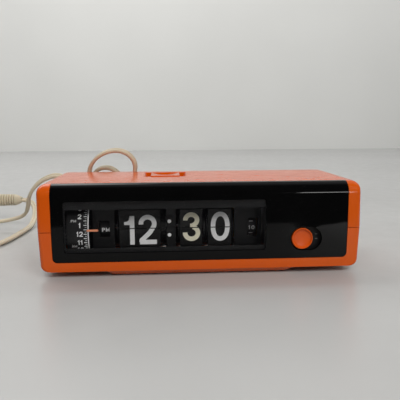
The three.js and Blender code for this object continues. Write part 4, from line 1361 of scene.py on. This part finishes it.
# ---- setting knobs at the rear
def make_setting_knob(name, x, wheel_y, body, replaced):
    """A knurled knob, its shaft, and the grooved end that drives the wheel below."""
    rib = [(7.05, -0.3), (7.5, -0.12), (7.5, 0.12), (7.05, 0.3)]
    knob = prism(name, toothed(x, KNOB_SHAFT_Z, 30, rib), CASE_REAR + 0.4, CASE_REAR + 3.6, "y")
    rear = CASE_REAR + 4
    cap = [(-0.6, 0), (-0.6, 6.7), (-0.1, 6.4), (0, 6.1), (0, 2.6), (-0.5, 2.2), (-0.5, 0)]
    cap = [(rear + y, radius) for y, radius in cap]
    boolean(knob, lathe("cap", cap, (x, 0, KNOB_SHAFT_Z), "y", 60), "UNION")
    worm = [(-5, 0), (-5, 1.2), (-3.5, 1.2), (-3.5, 2.2), (-3.3, 2.4)]
    for groove in (-2, 0, 2):
        worm += [(groove - 0.45, 2.4), (groove - 0.35, 1.9), (groove + 0.35, 1.9), (groove + 0.45, 2.4)]
    worm += [(3.3, 2.4), (3.5, 2.2), (3.5, 1.2)]
    profile = [(wheel_y + y, radius) for y, radius in worm] + [(CASE_REAR + 1, 1.2), (CASE_REAR + 1, 0)]
    boolean(knob, lathe("shaft", profile, (x, 0, KNOB_SHAFT_Z), "y", 32), "UNION")
    finish_piece(shade(knob), DARK_PLASTIC, body, replaced)
    bow = stroked(arc(x, KNOB_SHAFT_Z, 4.4, 40, 140, 10), 0.5)
    head = [[(x - 4.5, KNOB_SHAFT_Z + 2.0), (x - 2.4, KNOB_SHAFT_Z + 2.9), (x - 3.9, KNOB_SHAFT_Z + 3.9)]]
    mark = print_object(name + "_mark", [bow, head], lambda a, b, lift: (a, rear + lift, b), thick=0.05)
    finish_piece(mark, PRINT_GREY, body)


make_alarm_slide()
make_snooze()
make_setting_knob("time_setting_knob", TIME_KNOB_X, LAY_Y, "time_setter", "time_set_knob")
make_setting_knob("alarm_setting_knob", ALARM_KNOB_X, AXIS_Y, "alarm_setter", "alarm_set_knob")


# ---- the frame and the parts behind the mask
PILLARS = [(-27.0, 50.5), (-1.0, 49.2), (-1.0, 11.0)]
MOTOR_PINION_Y = -10.0


def make_frame_plate(name, left, replaced, holes):
    """A pressed steel plate with its bearing holes and one lightening slot."""
    plate = prism(name, rounded(-29.8, 4.0, 6.6, 53.2, 3.0, 8), left, left + 1.2, "x")
    for y, z, radius in holes:
        hole = rod("hole", left - 1, left + 2.2, radius, (0, y, z), steps=32)
        boolean(plate, hole)
    slot = prism("slot", rounded(-13.0, -6.0, 13.0, 17.0, 1.9, 6), left - 1, left + 2.2, "x")
    boolean(plate, slot)
    finish_piece(bevel(plate, 0.15, 2), STEEL, "case", replaced)


def make_frame():
    shared = [(AXIS_Y, AXIS_Z, 1.8), *[(y, z, 1.6) for y, z in PILLARS]]
    lay = [(LAY_Y, LAY_Z, 1.2)]
    make_frame_plate("frame_left", -70.9, "left_plate", shared)
    make_frame_plate("frame_middle", -20.4, "middle_plate", shared)
    make_frame_plate("frame_gear", 25.3, "gear_plate", shared + lay)
    make_frame_plate("frame_right", 41.0, "right_plate", shared + lay + [(MOTOR_PINION_Y, AXIS_Z, 1.8)])
    for index, (y, z) in enumerate(PILLARS):
        profile = [(-71.4, 0), (-71.4, 1.0), (-71.1, 1.3), (42.2, 1.3), (42.5, 1.0), (42.5, 0)]
        pillar = lathe(f"pillar_{index + 1}", profile, (0, y, z), steps=32)
        finish_piece(shade(pillar), STEEL, "case", f"frame_pillar_{index + 1}")
    profile = [(-93.0, 0), (-93.0, 1.2), (-92.7, 1.5), (42.0, 1.5), (42.3, 1.2), (42.3, 0)]
    finish_piece(shade(lathe("axis_shaft", profile, MAIN_AXIS, steps=32)), SPRING_STEEL, "case",
                 "main_shaft")


def make_wheel_train():
    main = (AXIS_Y, AXIS_Z)
    lay = (LAY_Y, LAY_Z)
    back = LAY_ANGLE + 180
    gears = [
        ("ones_wheel_gear", 20, 0.85, 22.7, 24.7, *main, LAY_ANGLE, 1.8, 0.06, "ones_wheel", "ones_gear"),
        ("seconds_wheel_gear", 32, 0.55, 38.2, 40.2, *main, 0, 1.8, 0.05, "seconds_wheel", "seconds_gear"),
        ("lay_pinion", 8, 0.85, 22.7, 24.9, *lay, back - 180 / 8, 1.1, 0.06, "lay_train", "layshaft_pinion"),
        ("lay_wheel", 32, 0.595, 27.7, 29.7, *lay, back - 180 / 32, 1.1, 0.05, "lay_train", "layshaft_gear"),
    ]
    for *shape, edge, body, node in gears:
        finish_piece(bevel(gear_object(*shape), edge, 1), BRASS, body, node)
    profile = [(22.3, 0), (22.3, 0.7), (22.5, 0.9), (42.2, 0.9), (42.4, 0.7), (42.4, 0)]
    shaft = lathe("lay_axle", profile, (0, LAY_Y, LAY_Z), steps=24)
    boolean(shaft, gear_object("setting", 10, 0.5, 33, 35.4, LAY_Y, LAY_Z, 0, 0.7), "UNION")
    finish_piece(shade(shaft), SPRING_STEEL, "lay_train", "layshaft")
    rotor = gear_object("rotor_pinion", 8, 0.55, 38, 40.4, MOTOR_PINION_Y, AXIS_Z, 180 - 180 / 8, 0.7)
    profile = [(38, 0), (38, 0.9), (42.6, 0.9), (42.6, 0)]
    boolean(rotor, lathe("axle", profile, (0, MOTOR_PINION_Y, AXIS_Z), steps=24), "UNION")
    finish_piece(shade(rotor), BRASS, "motor_rotor", "motor_pinion")


def make_motor():
    y, z = -1.0, 30.0
    can = [(44.4, 0), (44.4, 21.5), (45.6, 21.5), (45.8, 21.2), (47.2, 21.2), (47.4, 21.5), (60.8, 21.5),
           (62.0, 20.3), (62.0, 9.0), (61.4, 8.4), (61.4, 4.0), (62.0, 3.6), (62.0, 0)]
    motor = lathe("synchronous_motor", can, (0, y, z), steps=72)
    flange = prism("flange", rounded(-25, 23, 10, 50, 6, 8), 42.8, 44.5, "x")
    boolean(motor, flange, "UNION")
    hole = rod("hole", 42, 48, 1.6, (0, MOTOR_PINION_Y, AXIS_Z), steps=24)
    boolean(motor, hole)
    for sy in (-21.5, 19.5):
        for sz in (14.0, 46.0):
            boolean(motor, rod("hole", 42, 45, 1.4, (0, sy, sz), steps=20))
    finish_piece(bevel(motor, 0.2, 2), MOTOR_STEEL, "case", "motor")


def make_buzzer():
    x, y = 84.0, 4.0
    spool = [(6.6, 0), (6.6, 6.8), (6.8, 7), (7.8, 7), (8, 6.8), (8, 4.6), (17.9, 4.6), (17.9, 6.8),
             (18.1, 7), (19, 7), (19.2, 6.8), (19.2, 1.6), (20.2, 1.5), (20.2, 0)]
    bobbin = lathe("bobbin", spool, (x, y, 0), "z", 40)
    finish_piece(shade(bobbin), WHITE_PLASTIC, "case", "buzzer_coil", slot="coil_brass")
    winding = [(8.05, 4.65)]
    turns = 22
    for turn in range(turns):
        low = 8.05 + 9.8 * turn / turns
        winding += [(low + 0.05, 5.35), (low + 0.16, 5.55), (low + 0.30, 5.55), (low + 0.41, 5.35)]
    winding.append((17.85, 4.65))
    finish_piece(shade(lathe("winding", winding, (x, y, 0), "z", 40)), COPPER, "case", "buzzer_coil")
    reed = block("reed", 76, 95, 0, 8, 20.8, 21.4)
    boolean(reed, block("leg", 94, 95, 0, 8, 6.6, 21.1), "UNION")
    boolean(reed, rod("hole", 20, 22, 1.2, (90.5, 4, 0), "z", 24))
    finish_piece(bevel(reed, 0.12, 2), SPRING_STEEL, "case", "buzzer_reed")


def make_lamp():
    y, z = -38.0, 50.6
    profile = [(-62.0, 0), (-61.7, 1.2), (-61.0, 2.0), (-60.0, 2.3), (-48.0, 2.3), (-47.0, 2.1), (-46.0, 1.6),
               (-46.0, 0)]
    finish_piece(shade(lathe("lamp_bulb", profile, (0, y, z), steps=36)), LAMP_GLASS, "case", "neon_lamp")
    for index, side in enumerate((-0.8, 0.8)):
        wire = rod(f"lamp_electrode_{index + 1}", -58, -46.5, 0.3, (0, y + side, z), steps=16)
        finish_piece(shade(wire), NICKEL, "case")


def make_terminals():
    strip = block("terminal_strip", 66, 84, 24, 34, 6.6, 14)
    for x in (72.5, 77.5):
        boolean(strip, block("gap", x - 0.4, x + 0.4, 23, 35, 11.5, 15))
    for x in (70, 75, 80):
        boolean(strip, rod("hole", 9, 15, 1.6, (x, 29, 0), "z", 24))
    finish_piece(bevel(strip, 0.3, 2), WHITE_PLASTIC, "case", "terminal_block")
    for index, x in enumerate((70, 75, 80)):
        profile = [(9.05, 0), (9.05, 1.45), (11.0, 1.45), (11.3, 1.2), (11.4, 0)]
        head = lathe(f"terminal_screw_{index + 1}", profile, (x, 29, 0), "z", 24)
        boolean(head, block("slot", x - 1.6, x + 1.6, 28.75, 29.25, 10.8, 12))
        finish_piece(shade(head), BRASS, "case")


make_frame()
make_wheel_train()
make_motor()
make_buzzer()
make_lamp()
make_terminals()
